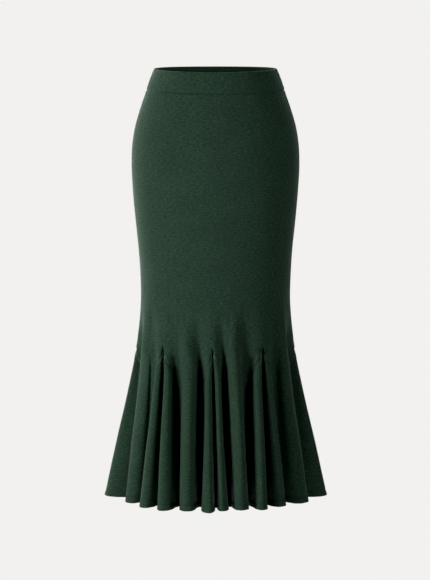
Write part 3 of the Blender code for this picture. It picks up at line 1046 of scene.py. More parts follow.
@dataclass
class ClothPiece:
    """One cut piece, a closed thin shell on the skirt's form.

    Args:
        node: CAD node that it stands for.
        slot: Material slot; not used.
        finish: Its material.
        flat: Width and length of the cut in metres.
        area: Flat area of the cut in square metres; not used.
        thickness: Thickness of the cloth in metres.
        held: How the cloth is held; not used.
    """

    node: str
    slot: Slot
    finish: bpy.types.Material
    flat: tuple[float, float]
    area: float
    thickness: float = CLOTH_THICKNESS
    held: Held = Held.HUNG

    def grid(self) -> Grid:
        """Rows and columns of the piece."""
        raise NotImplementedError

    def relief(self, arcs: np.ndarray, row: int, grid: Grid) -> np.ndarray:
        """Push of each column outwards at one row, in metres."""
        raise NotImplementedError

    def edge_drop(self, row: int, points: np.ndarray) -> np.ndarray:
        """How far the points of one row hang lower than the form says."""
        return np.zeros(len(points))

    def build(self) -> bpy.types.Object:
        """Make the piece, hide its CAD part and log how many faces it has.

        Returns:
            The finished object.
        """
        grid = self.grid()
        outer, inner, uv = [], [], []
        for row, (z_row, share) in enumerate(grid.rows):
            stations = grid.stations[row]
            points = FORM.middle(stations, z_row, share)
            normal, _ = FORM.outward(stations, z_row, share)
            steps = np.linalg.norm(np.diff(points, axis=0), axis=1)
            arcs = np.concatenate([[0.0], np.cumsum(steps)])
            points = points + normal * self.relief(arcs, row, grid)[:, None]
            points[:, 2] -= self.edge_drop(row, points)
            outer.append(points + normal * self.thickness / 2)
            inner.append(points - normal * self.thickness / 2)
            across = arcs - arcs[-1] / 2 + self.flat[0] / 2
            uv.append(np.stack([across, np.full(len(arcs), -z_row)], axis=-1))
        piece = self._shell(np.array(outer), np.array(inner), np.array(uv), grid.cloth)
        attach(piece, BODY)
        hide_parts(self.node)
        log.info("%s: %d faces", piece.name, len(piece.data.polygons))
        return piece

    def _shell(
        self, outer: np.ndarray, inner: np.ndarray, uv: np.ndarray, cloth: np.ndarray
    ) -> bpy.types.Object:
        """A closed mesh from the outer and inner points.

        Args:
            outer: Outer points by row and column.
            inner: Inner points by row and column.
            uv: Places on the cut in metres, by row and column.
            cloth: Which cells are cloth.

        Returns:
            The object, with a UV map named "cut".
        """
        rows, columns = outer.shape[:2]
        count = rows * columns
        index = np.arange(count).reshape(rows, columns)
        r, c = np.nonzero(cloth)
        outside = np.stack([index[r, c], index[r + 1, c], index[r + 1, c + 1], index[r, c + 1]], axis=-1)
        inside = outside[:, ::-1] + count
        edges = np.concatenate([outside[:, [side, (side + 1) % CORNERS]] for side in range(CORNERS)])
        keys = edges[:, 0] * count + edges[:, 1]
        twins = edges[:, 1] * count + edges[:, 0]
        free = edges[~np.isin(keys, twins)]
        # the rim has a middle line, which rounds each lower edge and the band's upper fold
        rim_points, rim_uv, rim_index = self._rim_line(outer, inner, uv, free, count)
        mid = rim_index[free]
        rims = np.concatenate(
            [
                np.stack([free[:, 1], free[:, 0], mid[:, 0], mid[:, 1]], axis=-1),
                np.stack([mid[:, 1], mid[:, 0], free[:, 0] + count, free[:, 1] + count], axis=-1),
            ]
        )
        faces = np.concatenate([outside, inside, rims])
        points = np.concatenate([outer.reshape(-1, 3), inner.reshape(-1, 3), rim_points])
        # the inner skin's place on the map is beside the outer skin's
        beside = np.array([self.flat[0] + MAP_GAP, 0.0])
        places = np.concatenate([uv.reshape(-1, 2), uv.reshape(-1, 2) + beside, rim_uv])
        used, faces = np.unique(faces, return_inverse=True)
        faces = faces.reshape(-1, CORNERS)
        mesh = bpy.data.meshes.new(self.node + "_cloth")
        mesh.from_pydata(points[used].tolist(), [], faces.tolist())
        layer = mesh.uv_layers.new(name="cut")
        layer.data.foreach_set("uv", places[used][faces.ravel()].astype(np.float32).ravel())
        mesh.shade_smooth()
        mesh.materials.append(self.finish)
        piece = bpy.data.objects.new(self.node + "_cloth", mesh)
        bpy.context.scene.collection.objects.link(piece)
        return piece

    def _rim_line(
        self, outer: np.ndarray, inner: np.ndarray, uv: np.ndarray, free: np.ndarray, count: int
    ) -> tuple[np.ndarray, np.ndarray, np.ndarray]:
        """The line midway round the free edges.

        Args:
            outer: Outer points by row and column.
            inner: Inner points by row and column.
            uv: Places on the cut in metres, by row and column.
            free: Pairs of corners that a free edge joins.
            count: Number of outer points.

        Returns:
            Its points, their places on the map, and for each outer point the number of its own.
        """
        corners = np.unique(free)
        flat_outer, flat_inner = outer.reshape(-1, 3), inner.reshape(-1, 3)
        middle = (flat_outer[corners] + flat_inner[corners]) / 2
        columns = outer.shape[1]
        row = corners // columns
        middle[:, 2] += np.where(row == 0, self.top_round(), 0.0)
        middle[:, 2] -= np.where(row == outer.shape[0] - 1, self.thickness * EDGE_ROUND, 0.0)
        numbers = np.full(count, -1)
        numbers[corners] = 2 * count + np.arange(len(corners))
        return middle, uv.reshape(-1, 2)[corners], numbers

    def top_round(self) -> float:
        """How far the upper rim's middle stands above its edges."""
        return 0.0


def equal_steps(count: int) -> np.ndarray:
    """Shares from 0 to 1 in equal steps."""
    return np.linspace(0.0, 1.0, count + 1)


@dataclass
class BodyPanel(ClothPiece):
    """The front or the back, from the waistband's seam to the hem, with three slits for godets.

    Args:
        godets: Numbers of the godets from side seam to side seam.
        wall_steps: Columns from a valley to the tongue's ridge.
        seam_steps: Columns from a godet's seam to the valley beside it.
        upper_rows: Rows above the godets' tops.
        flare_rows: Rows below them.
        gap: Metres between two pieces at a seam.
    """

    godets: Sequence[int] = ()
    wall_steps: int = 14
    seam_steps: int = 3
    upper_rows: int = 128
    flare_rows: int = 148
    gap: float = 0.1 * MM

    def grid(self) -> Grid:
        """Lay out the piece.

        Returns:
            Rows from the waistband's seam to the hem, and columns from side seam to side seam.
        """
        upper = np.linspace(FORM.band_seam - self.gap / 2, FORM.apex, self.upper_rows + 1)[:-1]
        rows = [(float(z), 0.0) for z in upper]
        rows += [FORM.flare_row(float(share)) for share in flare_shares(self.flare_rows)]
        stations = np.array([self._stations(z_row, share) for z_row, share in rows])
        cloth = np.ones((len(rows) - 1, stations.shape[1] - 1), dtype=bool)
        for slit in range(1, len(self.godets) - 1):
            cloth[self.upper_rows :, slit * self.tongue_columns - 1] = False
        return Grid(rows, stations, cloth)

    @property
    def tongue_columns(self) -> int:
        """Columns of one tongue, from seam to seam."""
        return 2 * (self.wall_steps + self.seam_steps) + 1

    def _stations(self, z_row: float, share: float) -> np.ndarray:
        """Columns of one row.

        Args:
            z_row: Height of the row in metres.
            share: Share of the way from the godets' tops to the hem.

        Returns:
            Their stations, tongue by tongue.
        """
        columns: list[np.ndarray] = []
        for godet in self.godets[:-1]:
            base = godet * STRIDE
            start = FORM.seam(godet, Side.RIGHT, z_row, share, self.gap / 2)
            end = FORM.seam(godet + 1, Side.LEFT, z_row, share, self.gap / 2)
            if z_row > FORM.apex and godet == self.godets[0]:
                start = FORM.along(base + MIDDLE, self.gap / 2, z_row, share)
            if z_row > FORM.apex and godet + 1 == self.godets[-1]:
                end = FORM.along(base + STRIDE + MIDDLE, -self.gap / 2, z_row, share)
            stops = (start, base + LAST_VALLEY, base + TONGUE, base + STRIDE + FIRST_VALLEY, end)
            steps = (self.seam_steps, self.wall_steps, self.wall_steps, self.seam_steps)
            for first, last, count in zip(stops, stops[1:], steps):
                columns.append(first + (last - first) * equal_steps(count)[:-1])
            columns.append(np.array([end]))
        return np.concatenate(columns)

    def relief(self, arcs: np.ndarray, row: int, grid: Grid) -> np.ndarray:
        """Creases, the seams beside the godets, the side seams, the waist seam and the hem.

        Args:
            arcs: Distances of the columns along the cloth in metres.
            row: Number of the row.
            grid: The piece's rows and columns.

        Returns:
            Metres outwards for each column.
        """
        z_row, share = grid.rows[row]
        push = crease_push(grid.stations[row], arcs, z_row, share)
        if z_row > FORM.apex:
            edges = [(0, seam_number(self.godets[0], Side.RIGHT))]
            edges += [(len(arcs) - 1, seam_number(self.godets[-1], Side.LEFT))]
        else:
            edges = []
            for tongue, godet in enumerate(self.godets[:-1]):
                first, after = tongue * self.tongue_columns, (tongue + 1) * self.tongue_columns
                edges.append((first, seam_number(godet, Side.RIGHT)))
                edges.append((after - 1, seam_number(godet + 1, Side.LEFT)))
        push += seam_push(arcs, edges, z_row)
        push += waist_push(arcs, FORM.band_seam - z_row, self.godets[0])
        return push + hem_push(arcs, share, PANEL_HEM_SEED + self.godets[0])


@dataclass
class Godet(ClothPiece):
    """One wedge between two tongues.

    Args:
        number: Its number round the skirt.
        wall_steps: Columns from its middle to a ridge, and from there to a seam.
        flare_rows: Rows from its top to the hem.
        gap: Metres between two pieces at a seam.
    """

    number: int = 0
    wall_steps: int = 14
    flare_rows: int = 148
    gap: float = 0.1 * MM

    def grid(self) -> Grid:
        """Lay out the piece.

        Returns:
            Rows from the blunt top to the hem, and columns from seam to seam.
        """
        start = self.gap / (FORM.apex - FORM.hem)
        shares = flare_shares(self.flare_rows)
        rows = [FORM.flare_row(float(max(share, start))) for share in shares]
        stations = np.array([self._stations(z_row, share) for z_row, share in rows])
        cloth = np.ones((len(rows) - 1, stations.shape[1] - 1), dtype=bool)
        return Grid(rows, stations, cloth)

    def _stations(self, z_row: float, share: float) -> np.ndarray:
        """Columns of one row, spread in the same shares at every row.

        Args:
            z_row: Height of the row in metres.
            share: Share of the way from the godets' tops to the hem.

        Returns:
            Their stations from the left seam to the right one.
        """
        base = self.number * STRIDE
        middle = base + MIDDLE
        ridge_share = (1 - FORM.seam_inset) / (2 - FORM.seam_inset)
        steps = equal_steps(self.wall_steps)
        half = np.concatenate([ridge_share * steps[:-1], ridge_share + (1 - ridge_share) * steps])
        left = FORM.seam(self.number, Side.LEFT, z_row, share, -self.gap / 2)
        right = FORM.seam(self.number, Side.RIGHT, z_row, share, -self.gap / 2)
        return np.concatenate([left + (middle - left) * half, (right + (middle - right) * half)[::-1][1:]])

    def relief(self, arcs: np.ndarray, row: int, grid: Grid) -> np.ndarray:
        """Creases, both seams and the hem.

        Args:
            arcs: Distances of the columns along the cloth in metres.
            row: Number of the row.
            grid: The piece's rows and columns.

        Returns:
            Metres outwards for each column.
        """
        z_row, share = grid.rows[row]
        push = crease_push(grid.stations[row], arcs, z_row, share)
        left, right = seam_number(self.number, Side.LEFT), seam_number(self.number, Side.RIGHT)
        push += seam_push(arcs, [(0, left), (len(arcs) - 1, right)], z_row)
        return push + hem_push(arcs, share, GODET_HEM_SEED + self.number)


@dataclass
class Waistband(ClothPiece):
    """Half of the waistband, folded over a flat elastic.

    Args:
        thickness: Thickness of the folded band in metres.
        held: The elastic stretches it; not used.
        godets: Numbers of the godets from side seam to side seam.
        wall_steps: Columns from one station to the next.
        band_rows: Rows from the upper edge to the seam.
        gap: Metres between two pieces at a seam.
        dip: How much lower the upper edge is at centre front and back than at the sides.
        dip_depth: Share of the band's height over which the dip fades.
        bulge: How far the elastic fills the band out.
        bulge_power: Power that makes the bulge flat in its middle.
        shirring: Height of the faint upright gathers.
        shirring_spacing: Mean length of one gather.
        shirring_loss: Share by which they are weaker at the upper edge.
        seam_share: Relief of the band's side seams, as a share of the panels'.
        fold_round: How far the upper fold is rounded, in thicknesses of the band.
    """

    thickness: float = BAND_THICKNESS
    held: Held = Held.STRETCHED
    godets: Sequence[int] = ()
    wall_steps: int = 7
    band_rows: int = 26
    gap: float = 0.1 * MM
    dip: float = 2 * MM
    dip_depth: float = 0.6
    bulge: float = 0.7 * MM
    bulge_power: float = 0.6
    shirring: float = 0.16 * MM
    shirring_spacing: float = 8.5 * MM
    shirring_loss: float = 0.5
    seam_share: float = 0.6
    fold_round: float = 0.42

    def grid(self) -> Grid:
        """Lay out the piece.

        Returns:
            Rows from the folded upper edge to the seam, and columns from side seam to side seam.
        """
        heights = np.linspace(FORM.waist_top, FORM.band_seam + self.gap / 2, self.band_rows + 1)
        rows = [(float(z), 0.0) for z in heights]
        first, last = (godet * STRIDE + MIDDLE for godet in (self.godets[0], self.godets[-1]))
        inside = (np.arange(first, last)[:, None] + equal_steps(self.wall_steps)[None, :-1]).ravel()
        stations = []
        for z_row, share in rows:
            start = FORM.along(first, self.gap / 2, z_row, share)
            end = FORM.along(last, -self.gap / 2, z_row, share)
            stations.append(np.concatenate([[start], inside[1:], [end]]))
        cloth = np.ones((len(rows) - 1, len(stations[0]) - 1), dtype=bool)
        return Grid(rows, np.array(stations), cloth)

    def relief(self, arcs: np.ndarray, row: int, grid: Grid) -> np.ndarray:
        """The elastic's soft bulge, faint upright shirring, the side seams and the seam below.

        Args:
            arcs: Distances of the columns along the cloth in metres.
            row: Number of the row.
            grid: The piece's rows and columns.

        Returns:
            Metres outwards for each column.
        """
        z_row, _ = grid.rows[row]
        height = (z_row - FORM.band_seam) / (FORM.waist_top - FORM.band_seam)
        arch = math.sin(math.pi * min(1.0, max(0.0, height))) ** self.bulge_power
        gathers = ripple(arcs, self.shirring_spacing, SHIRRING_SEED + self.godets[0])
        push = self.bulge * arch + self.shirring * gathers * (1 - self.shirring_loss * height)
        push -= SEWING.groove * bell(z_row - FORM.band_seam, SEWING.waist_groove_width)
        first, last = BAND_SEAM_SEEDS
        return push + seam_push(arcs, [(0, first), (len(arcs) - 1, last)], z_row) * self.seam_share

    def edge_drop(self, row: int, points: np.ndarray) -> np.ndarray:
        """The upper edge is lower at centre front and back than at the sides."""
        lean = np.abs(points[:, 1]) / np.abs(points[:, 1]).max()
        return self.dip * lean**2 * max(0.0, 1 - row / (self.dip_depth * self.band_rows))

    def top_round(self) -> float:
        """The fold over the elastic is round."""
        return self.thickness * self.fold_round


# Two waves, one and two of them to the flare's length, draw its rows together at both ends.
CROWDING, CROWDING_TWICE = 0.055, 0.02


def flare_shares(count: int) -> np.ndarray:
    """Lay out the flare's rows, closer together at the godets' tops and at the hem.

    Args:
        count: Number of steps between the rows.

    Returns:
        Share of the flare for each row.
    """
    shares = equal_steps(count)
    turn = 2 * math.pi * shares
    return shares - CROWDING * np.sin(turn) - CROWDING_TWICE * np.sin(2 * turn)


def crease_push(stations: np.ndarray, arcs: np.ndarray, z_row: float, share: float) -> np.ndarray:
    """Push of the listed creases and of the cloth's broad unevenness at one row.

    Args:
        stations: Columns of the row.
        arcs: Their distances along the cloth in metres.
        z_row: Height of the row in metres.
        share: Share of the way from the godets' tops to the hem.

    Returns:
        Metres outwards for each column.
    """
    points = FORM.middle(stations, z_row, share)
    angle, _, _ = FORM.keys(z_row, share)
    count = len(angle)
    keys = np.arange(-2, 2 * count)  # from the tongue before the left side godet, then twice round
    key_degrees = np.degrees(angle[keys % count] + 2 * math.pi * (keys // count))
    push = np.zeros(len(stations))
    for crease in CREASES:
        off = z_row / MM - crease.height
        fade = 1 - (2 * off / crease.length) ** 2
        if fade <= 0:
            continue
        degrees = crease.degrees + crease.lean * off / LEAN_HEIGHT
        centre = float(np.interp(degrees, key_degrees, keys))
        for turn in (-count, 0, count):
            at = centre + turn
            if not stations[0] - CREASE_MARGIN <= at <= stations[-1] + CREASE_MARGIN:
                continue
            place = np.interp(at, stations, arcs, left=arcs[0] - FAR, right=arcs[-1] + FAR)
            push += crease.depth * MM * fade**2 * bell(arcs - place, crease.width * MM)
    below_band = smooth((FORM.band_seam - z_row) / UNEVEN_START)
    return push + (BROAD.push(points, z_row) + FINE.push(points, z_row)) * below_band


def seam_number(godet: int, side: Side) -> int:
    """The same number for a seam from both of its pieces, so that their puckers meet."""
    return SEAM_SEED + 2 * (godet % len(GODETS)) + (side is Side.RIGHT)


SIDE_SEAMS = {seam_number(godet, side) for godet in SIDE_GODETS for side in Side}


def seam_push(arcs: np.ndarray, edges: Sequence[tuple[int, int]], z_row: float) -> np.ndarray:
    """Groove, pressed allowance and puckers beside seams at one row.

    Args:
        arcs: Distances of the columns along the cloth in metres.
        edges: Pairs of the column that lies on a seam and the seam's own number.
        z_row: Height of the row in metres.

    Returns:
        Metres outwards for each column.
    """
    columns = [column for column, _ in edges]
    gathers = np.array([float(ripple(z_row, SEWING.pucker_spacing, seed)) for _, seed in edges])
    distances = np.abs(arcs[None, :] - arcs[columns][:, None])
    distance = distances.min(axis=0)
    nearness = np.exp(-distances / SEWING.gather_blend)
    gather = (gathers[:, None] * nearness).sum(axis=0) / nearness.sum(axis=0).clip(NEARNESS_FLOOR)
    push = -SEWING.groove * bell(distance, SEWING.groove_width)
    push += SEWING.allowance * bell(distance - SEWING.allowance_centre, SEWING.allowance_width)
    push += SEWING.pucker * gather * np.exp(-distance / SEWING.pucker_fade)
    shares = np.array([SEWING.side_share if seed in SIDE_SEAMS else 1.0 for _, seed in edges])
    return push * shares[distances.argmin(axis=0)]


def waist_push(arcs: np.ndarray, below: float, panel: int) -> np.ndarray:
    """Groove and short uneven puckers under the waistband's seam at one row.

    Args:
        arcs: Distances of the columns along the cloth in metres.
        below: Metres from the seam down to the row.
        panel: Number of the panel's first godet.

    Returns:
        Metres outwards for each column.
    """
    push = -SEWING.groove * bell(below, SEWING.waist_groove_width)
    push = push + SEWING.allowance * bell(below - SEWING.allowance_centre, SEWING.allowance_width)
    uneven = ripple(arcs, SEWING.waist_uneven_spacing, WAIST_REACH_SEED + panel)
    puckers = ripple(arcs, SEWING.waist_spacing, WAIST_PUCKER_SEED + panel)
    reach = SEWING.waist_fade * (SEWING.waist_even + uneven)
    return push + SEWING.pucker * puckers * np.exp(-below / reach)


def hem_push(arcs: np.ndarray, share: float, seed: int) -> np.ndarray:
    """The turned-up hem's step, its stitched line and its soft waves at one row.

    Args:
        arcs: Distances of the columns along the cloth in metres.
        share: Share of the way from the godets' tops to the hem.
        seed: Number that sets the waves' starts.

    Returns:
        Metres outwards for each column.
    """
    above = (1 - share) * (FORM.apex - FORM.hem)
    step = SEWING.hem_step * float(smooth(SEWING.hem_step_start - above / SEWING.hem_turn))
    line = -SEWING.hem_line * float(bell(above - SEWING.hem_turn, SEWING.hem_line_width))
    wave = SEWING.hem_wave * ripple(arcs, SEWING.hem_wave_spacing, seed)
    return step + line + wave * math.exp(-above / SEWING.hem_wave_fade)


# ---- stitches ------------------------------------------------------------------------------------
@dataclass(frozen=True)
class StitchRow:
    """A run of stitches along a path on the cloth, made by geometry nodes.

    Args:
        name: Name of the finished piece.
        pitch: Metres from one stitch to the next.
        length: Metres of thread that show in each.
        thread: Thickness of the thread in metres.
    """

    name: str
    pitch: float = 3.0 * MM
    length: float = 2.3 * MM
    thread: float = 0.42 * MM

    def build(
        self,
        paths: Sequence[np.ndarray],
        normals: Sequence[np.ndarray],
        finish: bpy.types.Material,
    ) -> bpy.types.Object:
        """Lay stitches along the paths.

        Args:
            paths: Points of each path in metres.
            normals: Directions out of the cloth at those points.
            finish: The thread's material.

        Returns:
            One plain mesh of all the stitches.
        """
        guide = self._guide(paths, normals)
        modifier = guide.modifiers.new("stitches", "NODES")
        modifier.node_group = self._tree(finish)
        sizes = {"Pitch": self.pitch, "Length": self.length, "Thread": self.thread}
        for item in modifier.node_group.interface.items_tree:
            if item.in_out == "INPUT" and item.name in sizes:
                modifier[item.identifier] = sizes[item.name]
        bpy.context.view_layer.update()
        depsgraph = bpy.context.evaluated_depsgraph_get()
        mesh = bpy.data.meshes.new_from_object(guide.evaluated_get(depsgraph), depsgraph=depsgraph)
        mesh.name = self.name
        bpy.data.objects.remove(guide, do_unlink=True)
        piece = bpy.data.objects.new(self.name, mesh)
        bpy.context.scene.collection.objects.link(piece)
        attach(piece, BODY)
        log.info("%s: %d faces", piece.name, len(mesh.polygons))
        return piece

    def _guide(self, paths: Sequence[np.ndarray], normals: Sequence[np.ndarray]) -> bpy.types.Object:
        """A mesh of bare edges along the paths, with the cloth's normals as an attribute.

        Args:
            paths: Points of each path in metres.
            normals: Directions out of the cloth at those points.

        Returns:
            Its object, which is removed once the stitches are made.
        """
        edges, first = [], 0
        for path in paths:
            edges += [(first + k, first + k + 1) for k in range(len(path) - 1)]
            first += len(path)
        mesh = bpy.data.meshes.new(self.name + "_path")
        mesh.from_pydata(np.concatenate(paths).tolist(), edges, [])
        out = mesh.attributes.new("out_of_cloth", "FLOAT_VECTOR", "POINT")
        out.data.foreach_set("vector", np.concatenate(normals).astype(np.float32).ravel())
        guide = bpy.data.objects.new(self.name + "_path", mesh)
        bpy.context.scene.collection.objects.link(guide)
        return guide

    def _tree(self, finish: bpy.types.Material) -> bpy.types.NodeTree:
        """The geometry nodes: a short dash of thread at each step of the path.

        Args:
            finish: The thread's material.

        Returns:
            The tree, whose inputs are the row's sizes.
        """
        tree = bpy.data.node_groups.new(self.name, "GeometryNodeTree")
        tree.interface.new_socket("Geometry", in_out="INPUT", socket_type="NodeSocketGeometry")
        for label in ("Pitch", "Length", "Thread"):
            tree.interface.new_socket(label, in_out="INPUT", socket_type="NodeSocketFloat")
        tree.interface.new_socket("Geometry", in_out="OUTPUT", socket_type="NodeSocketGeometry")
        given = add_node(tree, "NodeGroupInput").outputs
        line = add_node(tree, "GeometryNodeMeshToCurve", inputs={0: given["Geometry"]})
        spaced = add_node(
            tree,
            "GeometryNodeResampleCurve",
            {"mode": "LENGTH"},
            {"Curve": line.outputs[0], "Length": given["Pitch"]},
        )
        tangent = add_node(tree, "GeometryNodeInputTangent")
        out = add_node(
            tree,
            "GeometryNodeInputNamedAttribute",
            {"data_type": "FLOAT_VECTOR"},
            {"Name": "out_of_cloth"},
        )
        forward = add_node(
            tree, "FunctionNodeAlignRotationToVector", {"axis": "X"}, {"Vector": tangent.outputs[0]}
        )
        facing = add_node(
            tree,
            "FunctionNodeAlignRotationToVector",
            {"axis": "Z", "pivot_axis": "X"},
            {"Rotation": forward.outputs[0], "Vector": out.outputs[0]},
        )
        # one metre across before it is scaled to the stitch's size, with few faces for so small a thing
        dash = add_node(
            tree, "GeometryNodeMeshUVSphere", inputs={"Segments": 6, "Rings": 4, "Radius": 0.5}
        )
        size = add_node(
            tree,
            "ShaderNodeCombineXYZ",
            inputs={0: given["Length"], 1: given["Thread"], 2: given["Thread"]},
        )
        laid = add_node(
            tree,
            "GeometryNodeInstanceOnPoints",
            inputs={
                "Points": spaced.outputs[0],
                "Instance": dash.outputs["Mesh"],
                "Rotation": facing.outputs[0],
                "Scale": size.outputs[0],
            },
        )
        real = add_node(tree, "GeometryNodeRealizeInstances", inputs={0: laid.outputs[0]})
        smoothed = add_node(tree, "GeometryNodeSetShadeSmooth", inputs={0: real.outputs[0]})
        painted = add_node(
            tree, "GeometryNodeSetMaterial", inputs={"Geometry": smoothed.outputs[0], "Material": finish}
        )
        add_node(tree, "NodeGroupOutput", inputs={"Geometry": painted.outputs[0]})
        return tree


# ---- studio --------------------------------------------------------------------------------------
@dataclass(frozen=True)
class SoftBox:
    """A soft studio light, placed round the skirt.

    Args:
        name: Its name.
        azimuth: Degrees round the skirt from the front; negative is towards -X.
        height: Metres above the skirt's middle.
        distance: Metres from the skirt's axis.
        width: Width in metres.
        tall: Height in metres.
        power: Watts.
    """

    name: str
    azimuth: float
    height: float
    distance: float
    width: float
    tall: float
    power: float

    def build(self, target: Vector) -> bpy.types.Object:
        """Make the light.

        Args:
            target: Point that it faces.

        Returns:
            The light's object.
        """
        lamp = bpy.data.lights.new(self.name, "AREA")
        lamp.shape = "RECTANGLE"
        lamp.size, lamp.size_y, lamp.energy = self.width, self.tall, self.power
        box = bpy.data.objects.new(self.name, lamp)
        angle = math.radians(self.azimuth)
        box.location = target + Vector(
            (math.sin(angle) * self.distance, -math.cos(angle) * self.distance, self.height)
        )
        box.rotation_euler = (target - box.location).to_track_quat("-Z", "Y").to_euler()
        box.visible_camera = False
        bpy.context.scene.collection.objects.link(box)
        return box


# name, azimuth, height, distance, width, tall, power
LIGHTS = (
    SoftBox("key_left", -56, 0.1, 3.0, 1.0, 1.6, 78),
    SoftBox("rim_high_left", -120, 1.8, 3.0, 1.0, 1.6, 63),
    SoftBox("rim_behind_left", -146, 0.2, 3.0, 2.0, 1.6, 88),
    SoftBox("rim_behind_right", 145, 1.1, 3.0, 1.0, 1.6, 26),
    SoftBox("fill_right", 50, 1.1, 3.0, 1.0, 1.6, 28),
    SoftBox("floor_bounce", 0, -2.4, 0.2, 1.6, 1.6, 20),
)


@dataclass(frozen=True)
class Studio:
    """Camera, lights and pale floor.

    Args:
        distance: Metres from the camera to the point that it looks at.
        elevation: Degrees that the camera stands above that point.
        aim: Height of that point in metres.
        picture: Width and height of the picture in pixels.
        pixels_per_metre: Pixels of the picture for one metre at the point that it looks at.
        sideways: Pixels that the view is shifted to the right.
        floor_height: Height of the floor in metres, well below the hem.
        floor_radius: Radius of the floor in metres.
        black: Light, in linear units, that the picture shows as black.
        sensor: Width of the camera's sensor in mm.
        floor_sides: Corners of the floor's disc.
    """

    distance: float = 5.8
    elevation: float = 8.5
    aim: float = -0.438
    picture: tuple[int, int] = (430, 580)
    pixels_per_metre: float = 480.8
    sideways: float = -0.5
    floor_height: float = -1.3
    floor_radius: float = 60.0
    black: float = 0.0018
    sensor: float = 36.0
    floor_sides: int = 96

    def build(self) -> None:
        """Make the camera, the lights, the floor and the world."""
        self._camera()
        target = Vector((0, 0, self.aim))
        for light in LIGHTS:
            light.build(target)
        paper = StudioPaper()
        self._floor(paper)
        self._world(paper)
        self._tone()

    def _tone(self) -> None:
        """Standard colours with a slightly deepened black."""
        view = bpy.context.scene.view_settings
        view.view_transform = "Standard"
        view.use_curve_mapping = True
        view.curve_mapping.black_level = (self.black,) * 3
        view.curve_mapping.update()

    def _camera(self) -> None:
        """A long lens in front of the skirt and a little above its middle."""
        camera = bpy.data.cameras.new("camera")
        camera.sensor_width = self.sensor
        camera.lens = self.pixels_per_metre * self.distance / max(self.picture) * self.sensor
        camera.shift_x = self.sideways / max(self.picture)
        stand = bpy.data.objects.new("camera", camera)
        rise = math.radians(self.elevation)
        target = Vector((0, 0, self.aim))
        stand.location = target + self.distance * Vector((0, -math.cos(rise), math.sin(rise)))
        stand.rotation_euler = (target - stand.location).to_track_quat("-Z", "Y").to_euler()
        bpy.context.scene.collection.objects.link(stand)
        bpy.context.scene.camera = stand

    def _floor(self, paper: StudioPaper) -> None:
        """A wide pale disc well below the hem, which the camera alone sees.

        Args:
            paper: Its finish.
        """
        angles = [2 * math.pi * side / self.floor_sides for side in range(self.floor_sides)]
        radius = self.floor_radius
        ring = [(radius * math.cos(a), radius * math.sin(a), self.floor_height) for a in angles]
        mesh = bpy.data.meshes.new("floor")
        mesh.from_pydata(ring, [], [list(range(self.floor_sides))])
        mesh.materials.append(paper.build())
        floor = bpy.data.objects.new("floor", mesh)
        floor.visible_diffuse = floor.visible_glossy = floor.visible_shadow = False
        bpy.context.scene.collection.objects.link(floor)

    def _world(self, paper: StudioPaper) -> None:
        """The same pale tone above the floor's edge, which lights nothing.

        Args:
            paper: The finish whose tone the camera sees.
        """
        world = bpy.data.worlds.new("studio")
        bpy.context.scene.world = world
        world.use_nodes = True
        tree = world.node_tree
        tree.nodes.clear()
        seen = add_node(tree, "ShaderNodeLightPath").outputs["Is Camera Ray"]
        behind = add_node(
            tree, "ShaderNodeBackground", inputs={"Color": linear(paper.colour), "Strength": 1.0}
        )
        shown = add_node(tree, "ShaderNodeMixShader", inputs={0: seen, 2: behind.outputs[0]})
        add_node(tree, "ShaderNodeOutputWorld", inputs={"Surface": shown.outputs[0]})


# ---- the whole skirt -----------------------------------------------------------------------------
@dataclass(frozen=True)
class Cut:
    """Flat size of a cut piece, without seam allowances.

    Args:
        width: Widest width in mm.
        length: Length in mm.
        area: Area in square metres.
    """

    width: float
    length: float
    area: float

    @property
    def flat(self) -> tuple[float, float]:
        """Width and length in metres."""
        return self.width * MM, self.length * MM


CUTS = {
    "waistband_front": Cut(385, 44, 0.0163),
    "waistband_back": Cut(400, 44, 0.0170),
    "body_front": Cut(486, 860, 0.3704),
    "body_back": Cut(467, 860, 0.3685),
    "godet_side_left": Cut(293, 345, 0.0572),
    "godet_front_left": Cut(219, 336, 0.0450),
    "godet_front_centre": Cut(199, 336, 0.0427),
    "godet_front_right": Cut(205, 336, 0.0450),
    "godet_side_right": Cut(292, 345, 0.0572),
    "godet_back_right": Cut(199, 336, 0.0436),
    "godet_back_centre": Cut(203, 336, 0.0443),
    "godet_back_left": Cut(204, 336, 0.0442),
}


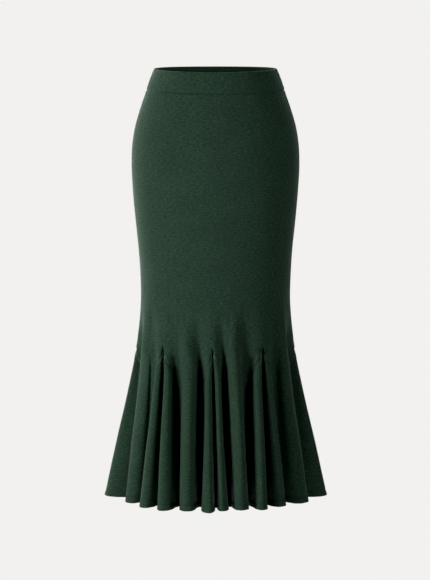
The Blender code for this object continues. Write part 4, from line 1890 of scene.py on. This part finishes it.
@dataclass
class Skirt:
    """The skirt: its pieces of cloth and its sewing, with distances in metres.

    Args:
        front: Numbers of the godets round the front, from side seam to side seam.
        back: The same round the back, where the number after the last godet is the first one again.
        stitch_rows: Distance of each of the hem's two rows of stitches from its stitched line.
        stitch_rise: How far the thread's middle stands off the cloth.
        stitch_inset: Distance from a seam to the first stitch.
        path_points: Points on the path of the stitches across one piece.
    """

    front: range = range(0, 5)
    back: range = range(4, 9)
    stitch_rows: float = 1.6 * MM
    stitch_rise: float = 0.1 * MM
    stitch_inset: float = 1 * MM
    path_points: int = 220

    def build(self) -> None:
        """Make the pieces in the order that a maker sews them."""
        knit = MelangeDoubleKnit("melange_double_knit").build()
        band = MelangeDoubleKnit("melange_double_knit_over_elastic", ground="#2c4637").build()
        thread = SpunThread().build()
        for node, godets in (("body_front", self.front), ("body_back", self.back)):
            cut = CUTS[node]
            BodyPanel(node, Slot.BODY, knit, cut.flat, cut.area, godets=godets).build()
        for number, node in enumerate(GODETS):
            cut = CUTS[node]
            Godet(node, Slot.BODY, knit, cut.flat, cut.area, number=number).build()
        for node, godets in (("waistband_front", self.front), ("waistband_back", self.back)):
            cut = CUTS[node]
            Waistband(node, Slot.BAND, band, cut.flat, cut.area, godets=godets).build()
        self._hem_stitches(thread)

    def _hem_stitches(self, thread: bpy.types.Material) -> None:
        """Two rows of coverstitch round the hem.

        Args:
            thread: The thread's material.
        """
        paths, normals = [], []
        length = FORM.apex - FORM.hem
        out = CLOTH_THICKNESS / 2 + self.stitch_rise
        for above in (SEWING.hem_turn - self.stitch_rows, SEWING.hem_turn + self.stitch_rows):
            z_row, share = FORM.flare_row(1 - above / length)
            for first, last in self._hem_spans(z_row, share):
                stations = np.linspace(first, last, self.path_points)
                normal, _ = FORM.outward(stations, z_row, share)
                paths.append(FORM.middle(stations, z_row, share) + normal * out)
                normals.append(normal)
        StitchRow("hem_coverstitch").build(paths, normals, thread)

    def _hem_spans(self, z_row: float, share: float) -> list[tuple[float, float]]:
        """Where the hem's stitching starts and stops on each piece.

        Args:
            z_row: Height of the stitches in metres.
            share: Share of the way from the godets' tops to the hem.

        Returns:
            Pairs of stations, a godet's and a tongue's in turn.
        """
        spans = []
        inset = self.stitch_inset
        for godet in range(len(GODETS)):
            left = FORM.seam(godet, Side.LEFT, z_row, share, -inset)
            right = FORM.seam(godet, Side.RIGHT, z_row, share, -inset)
            beyond = FORM.seam(godet, Side.RIGHT, z_row, share, inset)
            following = FORM.seam(godet + 1, Side.LEFT, z_row, share, inset)
            spans += [(left, right), (beyond, following)]
        return spans


def main() -> None:
    """Build the skirt and the studio round it."""
    logging.basicConfig(level=logging.INFO, format="%(name)s %(message)s")
    Skirt().build()
    Studio().build()


if __name__ == "__main__":
    main()
